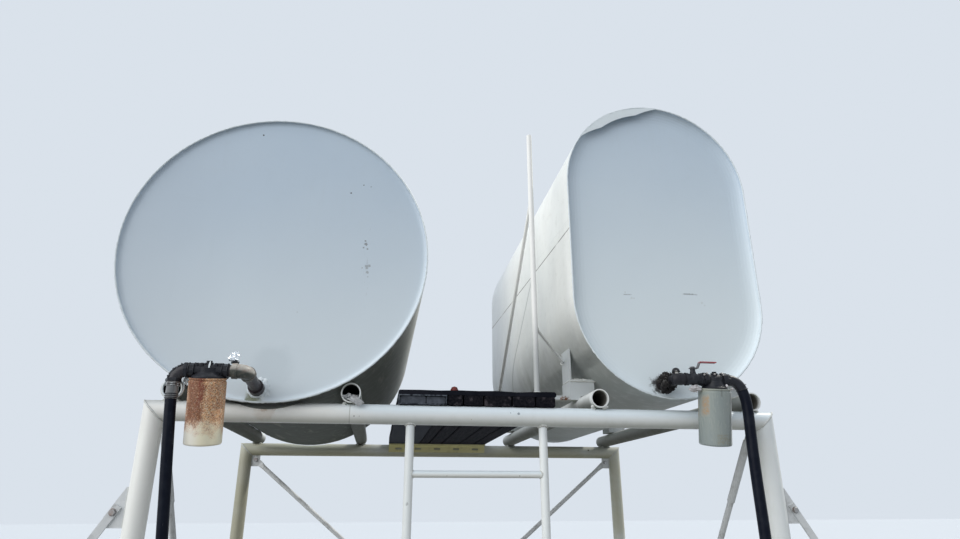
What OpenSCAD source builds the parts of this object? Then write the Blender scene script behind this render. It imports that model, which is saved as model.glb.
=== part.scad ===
// Twin overhead fuel tanks on a welded pipe stand.
// Millimetres. The ground is z = 0, X runs along the front beam and Y runs along the tanks.

/* [Stand] */
// Distance between the leg axes across the stand
stand_w = 1934; // [1880:1:2100]
// Distance between the leg axes from front to back
stand_d = 1465; // [1400:1:1540]
// Height of the beam axis above the ground
beam_z = 1870; // [1700:1:2000]
// Outside diameter of the frame pipe
pipe_od = 60.3; // [57:0.1:63.5]
// Wall of the frame pipe
pipe_wall = 3.9; // [2.9:0.1:5.5]
// Gap left at a coped or tangent weld
weld_gap = 0.3; // [0.1:0.1:0.5]
// Side of the square foot plates
foot_w = 110; // [90:1:150]
// Thickness of the foot plates
foot_t = 8; // [5:1:12]

/* [Rails] */
// Inset of the left outer rail from the left leg axis
rail_1_in = 47; // [38:1:60]
// Spacing of the two rails under the round tank
round_rail_gap = 519; // [490:1:540]
// Inset of the right outer rail from the right leg axis
rail_4_in = 46; // [38:1:60]
// Spacing of the two rails under the obround tank
obround_rail_gap = 530; // [500:1:550]
// How far the rails pass the front beam axis
rail_front_over = 28; // [10:1:45]
// How far the rails pass the back beam axis
rail_back_over = 57; // [31:1:80]

/* [Round tank] */
// Outside diameter of the round tank
round_d = 965; // [930:1:990]
// Length of the round tank
round_len = 1470; // [1400:1:1550]
// How far the round tank passes the front beam axis
round_overhang = 48; // [31:1:80]
// Thickness of the tank plate
plate_t = 2.7; // [2:0.1:4]
// How deep the round tank's heads sit inside its rims
round_head_in = 9; // [7:1:20]
// Width of the curved band at the edge of the round tank's heads
round_knuckle_w = 14; // [8:1:20]
// Radius of the notch in the front beam under the round tank
notch_r = 215; // [180:1:240]
// Depth of that notch below the tank
notch_drop = 15; // [8:1:20]

/* [Obround tank] */
// Width of the obround tank
obround_w = 686; // [660:1:700]
// Height of the obround tank
obround_h = 1117; // [1060:1:1160]
// Length of the obround tank
obround_len = 1600; // [1540:1:1660]
// How far the obround tank passes the front beam axis
obround_overhang = 43; // [31:1:80]
// Gap between the beams and the underside of the obround tank
obround_lift = 28; // [20:1:40]
// How deep the obround tank's heads sit inside its rims
obround_head_in = 22; // [16:1:30]
// Width of the curved band at the edge of the obround tank's heads
obround_knuckle_w = 48; // [30:1:60]
// Width of the flap where the obround rim is bent in
bent_flap_w = 30; // [20:1:36]
// How far the flap's outer edge is beaten in
bent_dent = 6; // [3:0.5:8]
// Angle about the top arc where the bent flap starts
bent_from = 86; // [80:1:95]
// Angle about the top arc where the flap has its kink
bent_kink = 118; // [110:1:124]
// Angle about the top arc where the bent flap ends
bent_to = 145; // [130:1:150]

/* [Tank brackets] */
// Length of each bracket along the tank
bracket_len = 96; // [80:1:120]
// Distance of each bracket from the end of the tank
bracket_inset = 173; // [150:1:240]
// Distance of a bracket's outer face from its rail's axis
bracket_out = 50; // [46:1:54]
// Width of the bracket's floor plate
bracket_floor_w = 96; // [88:1:104]
// Height of the bracket's side plate
bracket_side_h = 116; // [100:1:122]
// Thickness of the bracket plate
bracket_t = 5; // [4:0.5:6]
// Width of the block between bracket and rail
block_w = 88; // [80:1:96]
// Height of the block between bracket and rail
block_h = 52; // [46:1:58]
// How far the tie bar reaches over the deck
tie_over = 16; // [8:1:30]
// Width of the tie bar between deck and block
tie_w = 38; // [25:1:50]

/* [Top fittings] */
// Diameter of the fill neck
fill_d = 60.3; // [50:0.1:70]
// Height of the fill neck above the tank
fill_h = 70; // [50:1:100]
// Diameter of the vent pipe
vent_d = 42; // [33:1:48]
// Height of the vent pipe above the tank
vent_h = 120; // [90:1:180]
// Distance of the fill neck and the vent from the middle of the tank
top_fitting_y = 330; // [250:1:420]

/* [Braces] */
// Outside diameter of the brace pipe
brace_od = 21.3; // [19:0.1:24]
// Wall of the brace pipe
brace_wall = 2.8; // [2:0.1:3.5]
// Outside diameter of the sleeve at the top of a side brace
sleeve_od = 26.7; // [25.5:0.1:30]
// Length of that sleeve
sleeve_len = 255; // [200:1:320]
// Thickness of the tabs that the braces are bolted to
tab_t = 6; // [5:0.5:8]
// Thickness of a brace end beaten flat
flat_t = 6; // [5:0.1:6.5]
// Length of a brace end beaten flat
flat_len = 55; // [45:1:70]
// Height of the lower bolts of the back braces above the ground
back_brace_z = 310; // [260:1:360]
// Height of the lower bolts of the side braces above the ground
side_brace_z = 218; // [180:1:250]
// Distance of the brace bolts from the leg axis
bolt_out = 52; // [48:1:60]
// Radius of the bolt holes in the braces
bolt_r = 5.5; // [4.5:0.1:6.5]
// Drop from the beam axis to the top of an outrigger gusset
gusset_drop = 213; // [180:1:240]
// Height of an outrigger gusset
gusset_h = 108; // [95:1:125]
// Lean of the outrigger braces from upright
outrigger_lean = 31; // [26:1:35]
// Width of the outrigger bar
outrigger_w = 22; // [18:1:26]

/* [Ladder and deck] */
// Distance of the ladder stiles from the deck's side edges
ladder_in = 40; // [30:1:60]
// Outside diameter of the ladder stiles
stile_od = 26.7; // [25:0.1:30]
// Outside diameter of the ladder rungs
rung_od = 21.3; // [19:0.1:24]
// Spacing of the ladder rungs
rung_step = 305; // [280:1:330]
// Distance of the first rung below the beam axis
rung_drop = 175; // [150:1:200]
// Number of rungs
rung_n = 6; // [4:1:6]
// Distance of the deck's left edge from the round tank's right rail
deck_gap_left = 145; // [110:1:180]
// Distance of the deck's right edge from the obround tank's left rail
deck_gap_right = 147; // [110:1:180]
// Thickness of the deck boards
board_t = 31; // [26:1:38]
// Gap between deck boards
board_gap = 4; // [2:1:6]
// Width of the steel channel at the left of the deck
channel_w = 151; // [140:1:160]
// Thickness of the mat on top of the deck
sheet_t = 16; // [10:1:20]
// How far the mat passes the boards at the right
sheet_over = 4; // [1:1:12]
// How far the deck passes the front beam axis
deck_front = 20; // [10:1:30]

/* [Handrail] */
// Outside diameter of the handrail post
post_od = 19; // [17:0.1:22]
// Height of the handrail post above the deck
post_h = 957; // [900:1:1000]
// Distance of the post from the deck's right edge
post_in = 55; // [40:1:70]
// Diameter of the handrail's back stay
stay_d = 12.7; // [10:0.1:14]
// Height above the deck where the back stay meets the post
stay_h = 692; // [600:1:760]
// Distance along the deck from the post to the stay's foot
stay_run = 810; // [700:1:900]
// Diameter of the strut from the post to the tank bracket
strut_d = 9.5; // [8:0.1:11]
// Height above the deck where the strut meets the post
strut_h = 220; // [200:1:240]
// Distance along the bracket from its front to the strut's end
strut_in = 75; // [20:1:85]
// Height of the strut's end above the bracket's floor
strut_up = 80; // [40:1:100]

/* [Left outlet] */
// Distance of the left fittings in front of the round tank
left_standoff = 176.2; // [150:0.1:190]
// Diameter of the left filter canister
left_can_d = 96; // [90:1:104]
// Height of the left filter canister
left_can_h = 178; // [165:1:190]
// Distance from the left filter's ports to the top of its canister
left_port_h = 20; // [19:0.5:26]
// Distance between the ends of the left filter's ports
left_span = 104; // [98:1:110]
// Sideways distance from the round tank's middle to its coupling
left_outlet_x = 15; // [5:1:25]
// Height of the coupling above the bottom of the round tank
left_outlet_up = 42; // [36:1:60]
// Rise of the left nipple from the coupling to the elbow
left_rise = 18; // [8:1:26]
// Bare stretch of nipple between the elbow and the left filter
left_nipple_gap = 9; // [4:1:14]
// Sideways reach of the left hose fitting
left_drop_reach = 33.5; // [30:0.5:38]
// Drop from the filter's ports to the end of the left ferrule
left_ferrule_drop = 78; // [70:1:90]

/* [Right outlet] */
// Distance of the right fittings in front of the obround tank
right_standoff = 77; // [74:1:90]
// Diameter of the right filter canister
right_can_d = 100; // [95:1:104]
// Height of the right filter canister
right_can_h = 180; // [170:1:195]
// Distance from the right filter's ports to the top of its canister
right_port_h = 27; // [24:0.5:30]
// Distance between the ends of the right filter's ports
right_span = 80; // [76:1:90]
// Sideways distance from the obround tank's middle to its coupling
right_outlet_x = 40; // [30:1:50]
// Height of the coupling above the bottom of the obround tank
right_outlet_up = 54; // [50:1:70]
// Sideways distance from the obround tank's middle to the valve's stem
right_valve_in = 17; // [14:1:20]
// Sideways distance from the obround tank's middle to its filter
right_filter_in = 87; // [84:1:92]
// Length of the valve lever
lever_len = 81; // [60:1:95]
// Height of the step in the valve lever
lever_rise = 20; // [12:1:26]

/* [Pipe fittings] */
// Angle by which the filters are swung back under their ports
can_swing = 12; // [0:0.5:13]
// Outside diameter of the couplings
coupling_od = 44; // [40:1:50]
// Length of the couplings
coupling_len = 34; // [28:1:40]
// Outside diameter of the nipples
nipple_od = 33.4; // [30:0.1:36]
// Bore through the nipples and couplings
nipple_id = 26.6; // [24:0.1:28]
// Outside diameter of the elbows
elbow_od = 39; // [37:1:42]
// Bend radius of the elbows
elbow_bend_r = 24; // [21:1:28]
// Outside diameter of the bands at an elbow's ends
band_od = 43; // [41:1:46]
// Length of those bands
band_len = 12; // [8:1:14]

/* [Hoses] */
// Outside diameter of the left hose
left_hose_d = 29; // [26:1:32]
// Outside diameter of the right hose
right_hose_d = 34; // [30:1:36]

/* [Hidden] */

// How fine round parts are
round_fn = 96;
small_fn = 48;
// Larger than anything that is cut
far = 6000;
// Small overrun for clean cuts
eps = 1;

pipe_r = pipe_od / 2;
left_x = -stand_w / 2;
right_x = stand_w / 2;

// The part's front and back reach, measured from the front beam, put the origin in the middle.
// The edge of the left canister's top is the foremost point.
front_reach = round_overhang + left_standoff + left_can_d / 2 * cos(can_swing)
    - left_port_h * sin(can_swing);
back_reach = obround_len - obround_overhang;
front_y = -(back_reach - front_reach) / 2;
back_y = front_y + stand_d;

beam_top = beam_z + pipe_r;
rail_z = beam_z + pipe_od;
rail_x = [
    left_x + rail_1_in,
    left_x + rail_1_in + round_rail_gap,
    right_x - rail_4_in - obround_rail_gap,
    right_x - rail_4_in
];

// The round tank lies in the valley between its two rails
round_r = round_d / 2;
round_x = (rail_x[0] + rail_x[1]) / 2;
round_rest = round_r + pipe_r + weld_gap;
round_z = rail_z + sqrt(round_rest * round_rest - round_rail_gap * round_rail_gap / 4);
round_front = front_y - round_overhang;
notch_off = 13;

// A block's outer face lies a little outside its bracket's
block_out = 2;

// The obround tank stands on four brackets over its two rails
obround_r = obround_w / 2;
obround_s = obround_h / 2 - obround_r;
obround_x = (rail_x[2] + rail_x[3]) / 2;
obround_bottom = beam_top + obround_lift;
obround_z = obround_bottom + obround_h / 2;
obround_low_z = obround_z - obround_s;
obround_front = front_y - obround_overhang;
bracket_y = [
    obround_front + bracket_inset,
    obround_front + obround_len - bracket_inset - bracket_len
];

// The bracket's floor lies over its block; its side plate rises until it meets the tank
bracket_floor_z = rail_z + pipe_r + block_h;

deck_x = rail_x[1] + deck_gap_left;
deck_w = rail_x[2] - deck_gap_right - deck_x;
deck_y = front_y - deck_front;
deck_len = stand_d + deck_front + pipe_r;
deck_top = beam_top + board_t + sheet_t;
board_x0 = channel_w + board_gap;
board_share = [48, 64, 91, 76, 66];
board_last = len(board_share) - 1;
board_total = board_share * [for (share = board_share) 1];
board_room = deck_w - board_x0 - board_last * board_gap;

// Widths of the boards and the sums of the widths before each board
function board_w(i) = board_share[i] * board_room / board_total;
function board_start(i) = i == 0 ? board_x0 : board_start(i - 1) + board_w(i - 1) + board_gap;

post_x = deck_x + deck_w - post_in;

module solid_along(p, q, d, fn = small_fn) {
    v = q - p;
    run = norm([v[0], v[1]]);
    translate(p)
        rotate([0, 0, atan2(v[1], v[0])])
            rotate([0, atan2(run, v[2]), 0])
                cylinder(d = d, h = norm(v), $fn = fn);
}

module pipe_along(p, q, d, wall, fn = small_fn) {
    v = q - p;
    run = norm([v[0], v[1]]);
    translate(p)
        rotate([0, 0, atan2(v[1], v[0])])
            rotate([0, atan2(run, v[2]), 0])
                difference() {
                    cylinder(d = d, h = norm(v), $fn = fn);
                    translate([0, 0, -eps])
                        cylinder(d = d - 2 * wall, h = norm(v) + 2 * eps, $fn = fn);
                }
}

// Everything on the outer side of a 45 degree mitre plane at a top corner of the stand.
// side is 1 at the right corner and -1 at the left, and leg picks the leg's or the beam's side.
module mitre_side(corner_x, y, side, leg) {
    translate([corner_x, y, beam_z])
        rotate([0, side * 45, 0])
            translate([side * (leg ? 1 : -1) * far / 2, 0, 0])
                cube(far, center = true);
}

module beam(y) {
    difference() {
        pipe_along([left_x - pipe_od, y, beam_z], [right_x + pipe_od, y, beam_z], pipe_od,
            pipe_wall, round_fn);
        mitre_side(right_x, y, 1, true);
        mitre_side(left_x, y, -1, true);
    }
}

module front_beam() {
    color("whitesmoke")
        difference() {
            beam(front_y);
            // Saddle cut for the belly of the round tank
            translate([round_x, front_y + pipe_od, round_z])
                rotate([90, 0, 0])
                    cylinder(r = round_r + weld_gap, h = 2 * pipe_od, $fn = round_fn);
            // Tighter notch, torched a little to one side of the tank's middle
            translate([round_x + notch_off, front_y + pipe_od,
                round_z - round_r - notch_drop + notch_r])
                rotate([90, 0, 0])
                    cylinder(r = notch_r, h = 2 * pipe_od, $fn = round_fn);
        }
}

module back_beam() {
    color("whitesmoke")
        difference() {
            beam(back_y);
            translate([round_x, back_y + pipe_od, round_z])
                rotate([90, 0, 0])
                    cylinder(r = round_r + weld_gap, h = 2 * pipe_od, $fn = round_fn);
        }
}

module leg(x, y, side) {
    color("whitesmoke") {
        difference() {
            pipe_along([x, y, foot_t], [x, y, beam_z + pipe_od], pipe_od, pipe_wall, round_fn);
            mitre_side(x, y, side, false);
        }
        translate([x, y, foot_t / 2])
            cube([foot_w, foot_w, foot_t], center = true);
    }
}

module rail(x) {
    pipe_along([x, front_y - rail_front_over, rail_z], [x, back_y + rail_back_over, rail_z],
        pipe_od, pipe_wall, round_fn);
}

module round_tank_rails() {
    color("gainsboro")
        for (i = [0, 1])
            rail(rail_x[i]);
}

module obround_tank_rails() {
    color("gainsboro")
        for (i = [2, 3])
            rail(rail_x[i]);
}

// Curved band of a head, at the distance t behind its face
function head_drop(depth) = depth - plate_t / 2;
function head_band(r, depth, w, t) = [for (a = [0 : -15 : -90])
    [r - plate_t - w + (w + t) * cos(a), -plate_t / 2 + (head_drop(depth) + t) * sin(a)]];

// Half section of a flanged head of radius r. Its flange points up and ends at y = 0,
// the face of the head lies depth below that, and a curved band of width w joins the two.
module head_section(r, depth, w) {
    polygon(concat([[r, 0], [r - plate_t, 0]], head_band(r, depth, w, 0), [[0, -depth],
        [0, -depth - plate_t]], [for (i = [6 : -1 : 0]) head_band(r, depth, w, plate_t)[i]]));
}

// Half section of the space behind the face of such a head
module head_behind(r, depth, w) {
    polygon(concat([[r, 0], [r - plate_t, 0]], head_band(r, depth, w, 0), [[0, -depth],
        [0, -2 * depth], [r, -2 * depth]]));
}

module round_head() {
    rotate_extrude($fn = round_fn)
        head_section(round_r - plate_t - weld_gap, round_head_in, round_knuckle_w);
}

module round_tank_shell() {
    color("aliceblue")
        pipe_along([round_x, round_front, round_z], [round_x, round_front + round_len, round_z],
            round_d, plate_t, round_fn);
}

module round_tank_front_head() {
    color("lightsteelblue")
        translate([round_x, round_front, round_z])
            rotate([90, 0, 0])
                round_head();
}

module round_tank_back_head() {
    color("lightsteelblue")
        translate([round_x, round_front + round_len, round_z])
            rotate([-90, 0, 0])
                round_head();
}

// Outline of the obround tank, grown by g
module obround_outline(g) {
    for (s = [-1, 1])
        translate([0, s * obround_s])
            circle(r = obround_r + g, $fn = round_fn);
    square([2 * (obround_r + g), 2 * obround_s], center = true);
}

module obround_tank_shell() {
    color("aliceblue")
        translate([obround_x, obround_front, obround_z])
            rotate([-90, 0, 0])
                linear_extrude(height = obround_len)
                    difference() {
                        obround_outline(0);
                        obround_outline(-plate_t);
                    }
}

// A flanged obround head, with its flange pointing up and ending at z = 0
module obround_head() {
    r = obround_r - plate_t - weld_gap;
    for (s = [0, 1])
        translate([0, (s == 0 ? -1 : 1) * obround_s, 0])
            rotate([0, 0, s == 0 ? 180 : 0])
                rotate_extrude(angle = 180, $fn = round_fn)
                    head_section(r, obround_head_in, obround_knuckle_w);
    translate([0, obround_s, 0])
        rotate([90, 0, 0])
            linear_extrude(height = 2 * obround_s) {
                head_section(r, obround_head_in, obround_knuckle_w);
                mirror([1, 0])
                    head_section(r, obround_head_in, obround_knuckle_w);
            }
}

module obround_tank_front_head() {
    color("lightsteelblue")
        translate([obround_x, obround_front, obround_z])
            rotate([90, 0, 0])
                obround_head();
}

module obround_tank_back_head() {
    color("lightsteelblue")
        translate([obround_x, obround_front + obround_len, obround_z])
            rotate([-90, 0, 0])
                obround_head();
}

// Radii of the bent flap at angle a: its outer edge is beaten in up to the kink,
// and its inner edge runs out into the rim at both ends
function on_arc(r, a) = [r * cos(a), r * sin(a)];
function flap_outer(a) = obround_r
    - bent_dent * (a < bent_kink ? sin(180 * (a - bent_from) / (bent_kink - bent_from)) : 0);
function flap_inner(a) = obround_r - 2 * plate_t
    - bent_flap_w * min(1, (a - bent_from) / flap_ramp, (bent_to - a) / flap_ramp);
flap_ramp = 15;
flap_n = 16;

// The stretch of front rim that is bent in over the head
module obround_tank_bent_rim() {
    step = (bent_to - bent_from) / flap_n;
    color("white")
        translate([obround_x, obround_front, obround_z + obround_s])
            rotate([90, 0, 0])
                linear_extrude(height = plate_t)
                    polygon(concat(
                        [for (i = [0 : flap_n])
                            let (a = bent_from + i * step) on_arc(flap_outer(a), a)],
                        [for (i = [flap_n : -1 : 0])
                            let (a = bent_from + i * step) on_arc(flap_inner(a), a)]));
}

module top_fittings(x, y, top) {
    sink = 2;
    color("gainsboro") {
        // Fill neck with a screw cap
        translate([x, y - top_fitting_y, top]) {
            difference() {
                cylinder(d = fill_d, h = fill_h, $fn = small_fn);
                translate([0, 0, -eps])
                    cylinder(d = fill_d - 2 * pipe_wall, h = fill_h, $fn = small_fn);
            }
            translate([0, 0, fill_h - 14])
                difference() {
                    cylinder(d = fill_d + 18, h = 26, $fn = small_fn);
                    translate([0, 0, -eps])
                        cylinder(d = fill_d, h = 14 + eps, $fn = small_fn);
                }
            translate([0, 0, fill_h + 12])
                cylinder(d = fill_d - 18, h = 10, $fn = 6);
        }
        // Vent pipe with a mushroom cap
        translate([x, y + top_fitting_y, top]) {
            difference() {
                cylinder(d = vent_d, h = vent_h, $fn = small_fn);
                translate([0, 0, -eps])
                    cylinder(d = vent_d - 2 * pipe_wall, h = vent_h, $fn = small_fn);
            }
            translate([0, 0, vent_h])
                rotate_extrude($fn = small_fn)
                    polygon([[0, 0], [vent_d / 2 + 14, 0], [vent_d / 2 + 14, 14],
                        [vent_d / 2 + 4, 26], [0, 30]]);
        }
    }
}

module round_tank_top_fittings() {
    top_fittings(round_x, round_front + round_len / 2, round_z + round_r);
}

module obround_tank_top_fittings() {
    top_fittings(obround_x, obround_front + obround_len / 2, obround_z + obround_h / 2);
}

// A brace of pipe from p to q, which lie in the plane of its tabs. The ends are beaten flat
// against the tabs, and flip picks the side of the tabs that the brace lies on.
module flat_end_brace(p, q, flip) {
    v = q - p;
    length = norm(v);
    run = norm([v[0], v[1]]);
    lift = flip * (tab_t / 2 + flat_t / 2);
    bow = flip * (brace_od / 2 + 0.6);
    translate(p)
        rotate([0, 0, atan2(v[1], v[0])])
            rotate([0, atan2(run, v[2]), 0])
                difference() {
                    union() {
                        translate([0, bow, flat_len])
                            cylinder(d = brace_od, h = length - 2 * flat_len, $fn = 32);
                        for (end = [0, 1])
                            translate([0, 0, end * length])
                                mirror([0, 0, end])
                                    brace_end(lift, bow);
                    }
                    translate([0, bow, flat_len + 8])
                        cylinder(d = brace_od - 2 * brace_wall, h = length - 2 * flat_len - 16,
                            $fn = 32);
                    for (z = [0, length])
                        translate([0, 0, z])
                            rotate([90, 0, 0])
                                cylinder(r = bolt_r, h = 4 * brace_od, center = true, $fn = 24);
                }
}

module brace_end(lift, bow) {
    w = brace_od * 1.25;
    translate([-w / 2, lift - flat_t / 2, -16])
        cube([w, flat_t, flat_len - 8]);
    hull() {
        translate([-w / 2, lift - flat_t / 2, flat_len - 26])
            cube([w, flat_t, 2]);
        translate([0, bow, flat_len])
            cylinder(d = brace_od, h = 2, $fn = 32);
    }
}

back_upper_z = beam_z - bolt_out;

module back_cross_braces() {
    color("silver") {
        flat_end_brace([left_x + bolt_out, back_y, back_upper_z],
            [right_x - bolt_out, back_y, back_brace_z], -1);
        flat_end_brace([right_x - bolt_out, back_y, back_upper_z],
            [left_x + bolt_out, back_y, back_brace_z], -1);
    }
}

module side_brace(x, flip) {
    p = [x, front_y + bolt_out, beam_z - 4];
    q = [x, back_y - bolt_out, side_brace_z];
    v = q - p;
    u = v / norm(v);
    flat_end_brace(p, q, flip);
    // Sleeve over the upper stretch
    bow = (brace_od / 2 + 0.6);
    from = p + u * (flat_len + 12);
    off = [-flip * bow, 0, 0];
    difference() {
        solid_along(from + off, from + off + u * sleeve_len, sleeve_od);
        solid_along(from + off - u, from + off + u * (sleeve_len + 1), brace_od - brace_wall);
    }
}

module side_braces() {
    color("silver") {
        side_brace(left_x, -1);
        side_brace(right_x, 1);
    }
}

// A tab plate against a leg, with a bolt hole, lying in the XZ plane
module back_tab(x, side, z) {
    tab_w = bolt_out + 18;
    translate([x, back_y, z])
        difference() {
            translate([side < 0 ? -tab_w : 0, -tab_t / 2, -30])
                cube([tab_w, tab_t, 60]);
            cylinder(r = pipe_r + weld_gap, h = far, center = true, $fn = round_fn);
            translate([0, 0, beam_z - z])
                rotate([0, 90, 0])
                    cylinder(r = pipe_r + weld_gap, h = far, center = true, $fn = round_fn);
            translate([side * bolt_out, 0, 0])
                rotate([90, 0, 0])
                    cylinder(r = bolt_r, h = 2 * tab_t, center = true, $fn = 24);
        }
}

module side_tab(x, y, side, z) {
    tab_w = bolt_out + 18;
    translate([x, y, z])
        difference() {
            translate([-tab_t / 2, side < 0 ? -tab_w : 0, -30])
                cube([tab_t, tab_w, 60]);
            cylinder(r = pipe_r + weld_gap, h = far, center = true, $fn = round_fn);
            translate([0, 0, beam_z - z])
                rotate([0, 90, 0])
                    cylinder(r = pipe_r + weld_gap, h = far, center = true, $fn = round_fn);
            translate([0, side * bolt_out, 0])
                rotate([0, 90, 0])
                    cylinder(r = bolt_r, h = 2 * tab_t, center = true, $fn = 24);
        }
}

gusset_out = 54;

// Gusset plate on the outer side of a front leg
module gusset(x, side) {
    z = beam_z - gusset_drop;
    translate([x, front_y + tab_t / 2, z])
        mirror([side < 0 ? 1 : 0, 0, 0])
            rotate([90, 0, 0])
                linear_extrude(height = tab_t)
                    polygon([[pipe_r + weld_gap, 0], [pipe_r + 6, 0],
                        [pipe_r + gusset_out, -0.74 * gusset_h],
                        [pipe_r + gusset_out - 12, -gusset_h],
                        [pipe_r + weld_gap, -gusset_h]]);
}

module brace_tabs() {
    color("gainsboro") {
        for (z = [back_upper_z, back_brace_z]) {
            back_tab(left_x, 1, z);
            back_tab(right_x, -1, z);
        }
        for (x = [left_x, right_x]) {
            side_tab(x, front_y, 1, beam_z - 4);
            side_tab(x, back_y, -1, side_brace_z);
        }
        gusset(left_x, -1);
        gusset(right_x, 1);
    }
}

// The outrigger bar lies on the front face of its gusset and runs down and out to its foot
outrigger_t = 6;
outrigger_top_z = beam_z - gusset_drop - 0.62 * gusset_h;
outrigger_x = pipe_r + gusset_out - 24;
outrigger_run = (outrigger_top_z - foot_t) * tan(outrigger_lean);
outrigger_foot_w = 90;

module outrigger_braces() {
    bar_y = front_y - tab_t / 2 - outrigger_t;
    bar_len = (outrigger_top_z - foot_t) / cos(outrigger_lean);
    color("silver")
        for (side = [-1, 1])
            translate([side * (stand_w / 2 + outrigger_x), bar_y, outrigger_top_z])
                rotate([0, -side * outrigger_lean, 0])
                    difference() {
                        translate([-outrigger_w / 2, 0, -bar_len - outrigger_w])
                            cube([outrigger_w, outrigger_t, bar_len + outrigger_w + 20]);
                        rotate([-90, 0, 0])
                            cylinder(r = bolt_r, h = far, center = true, $fn = 24);
                        rotate([0, side * outrigger_lean, 0])
                            translate([0, 0, foot_t - outrigger_top_z - far / 2])
                                cube(far, center = true);
                    }
}

module outrigger_feet() {
    color("silver")
        for (side = [-1, 1])
            translate([side * (stand_w / 2 + outrigger_x + outrigger_run), front_y - 6, 0])
                translate([-outrigger_foot_w / 2, -outrigger_foot_w / 2, 0])
                    cube([outrigger_foot_w, outrigger_foot_w, foot_t]);
}

stile_x = [deck_x + ladder_in, deck_x + deck_w - ladder_in];
stile_wall = 2.9;

module ladder_stiles() {
    color("whitesmoke")
        difference() {
            for (x = stile_x)
                pipe_along([x, front_y, 0], [x, front_y, beam_z], stile_od, stile_wall);
            rotate([0, 90, 0])
                translate([-beam_z, front_y, 0])
                    cylinder(r = pipe_r + weld_gap, h = far, center = true, $fn = round_fn);
        }
}

module ladder_rungs() {
    color("whitesmoke")
        difference() {
            for (i = [0 : rung_n - 1]) {
                z = beam_z - rung_drop - i * rung_step;
                pipe_along([stile_x[0], front_y, z], [stile_x[1], front_y, z], rung_od,
                    brace_wall);
            }
            for (x = stile_x)
                translate([x, front_y, 0])
                    cylinder(r = stile_od / 2 + weld_gap, h = beam_z, $fn = small_fn);
        }
}

module deck_channel() {
    channel_t = 4;
    color("dimgray")
        translate([deck_x, deck_y, beam_top])
            difference() {
                cube([channel_w, deck_len, board_t]);
                translate([channel_t, -eps, channel_t])
                    cube([channel_w - 2 * channel_t, deck_len + 2 * eps,
                        board_t - 2 * channel_t]);
            }
}

module deck_boards() {
    color("#2b2a2d")
        for (i = [0 : board_last])
            translate([deck_x + board_start(i), deck_y, beam_top])
                cube([board_w(i), deck_len, board_t]);
}

// Thick mat whose right edge is rounded
module deck_top_sheet() {
    color("#1d1c20")
        translate([deck_x, deck_y + deck_len, beam_top + board_t])
            rotate([90, 0, 0])
                linear_extrude(height = deck_len) {
                    square([deck_w + sheet_over - sheet_t / 2, sheet_t]);
                    translate([deck_w + sheet_over - sheet_t / 2, sheet_t / 2])
                        circle(d = sheet_t, $fn = small_fn);
                }
}

// Slotted angle under the back ends of the boards
angle_w = 40;
angle_t = 4;
slot_n = 5;

module deck_back_angle() {
    y = back_y - pipe_r - weld_gap;
    color("darkkhaki")
        difference() {
            union() {
                translate([deck_x, y - angle_t, beam_top - angle_w])
                    cube([deck_w, angle_t, angle_w]);
                translate([deck_x, y - angle_w, beam_top - angle_t])
                    cube([deck_w, angle_w, angle_t]);
            }
            for (i = [0 : slot_n - 1])
                translate([deck_x + (i + 0.5) * deck_w / slot_n, y, beam_top - angle_w / 2 - 2])
                    rotate([90, 0, 0])
                        hull()
                            for (s = [-12, 12])
                                translate([s, 0, 0])
                                    cylinder(r = 5, h = 40, center = true, $fn = 24);
        }
}

module handrail_post() {
    color("white")
        pipe_along([post_x, front_y, deck_top], [post_x, front_y, deck_top + post_h], post_od, 2);
}

module handrail_stay() {
    color("gainsboro")
        difference() {
            solid_along([post_x, front_y, deck_top + stay_h],
                [post_x, front_y + stay_run, deck_top - stay_d], stay_d);
            translate([post_x, front_y, 0])
                cylinder(r = post_od / 2 + weld_gap, h = far, $fn = small_fn);
            translate([0, 0, deck_top - far / 2])
                cube(far, center = true);
        }
}

// The strut ends on the outer face of the first bracket's side plate
module handrail_strut() {
    start = [post_x, front_y, deck_top + strut_h];
    target = [rail_x[2] - bracket_out, bracket_y[0] + strut_in, bracket_floor_z + strut_up];
    past = 2 * strut_d * (target - start) / norm(target - start);
    color("gainsboro")
        difference() {
            solid_along(start, target + past, strut_d, 24);
            translate([post_x, front_y, 0])
                cylinder(r = post_od / 2 + weld_gap, h = far, $fn = small_fn);
            translate([target[0] - weld_gap, target[1] - far / 2, target[2] - far / 2])
                cube(far);
        }
}

// A bent plate bracket on the tank's flank: a floor that reaches under the belly
// and a side plate that rises to the tank. It is cut to the tank's own curve.
module bracket(side, y) {
    translate([obround_x, y, 0])
        mirror([side > 0 ? 1 : 0, 0, 0])
            difference() {
                translate([-obround_rail_gap / 2 - bracket_out, 0, bracket_floor_z]) {
                    cube([bracket_floor_w, bracket_len, bracket_t]);
                    cube([bracket_t, bracket_len, bracket_side_h]);
                }
                translate([0, -eps, obround_low_z])
                    rotate([-90, 0, 0])
                        cylinder(r = obround_r + weld_gap, h = bracket_len + 2 * eps,
                            $fn = round_fn);
            }
}

module tank_brackets() {
    color("gainsboro")
        for (y = bracket_y)
            for (side = [-1, 1])
                bracket(side, y);
}

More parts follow.
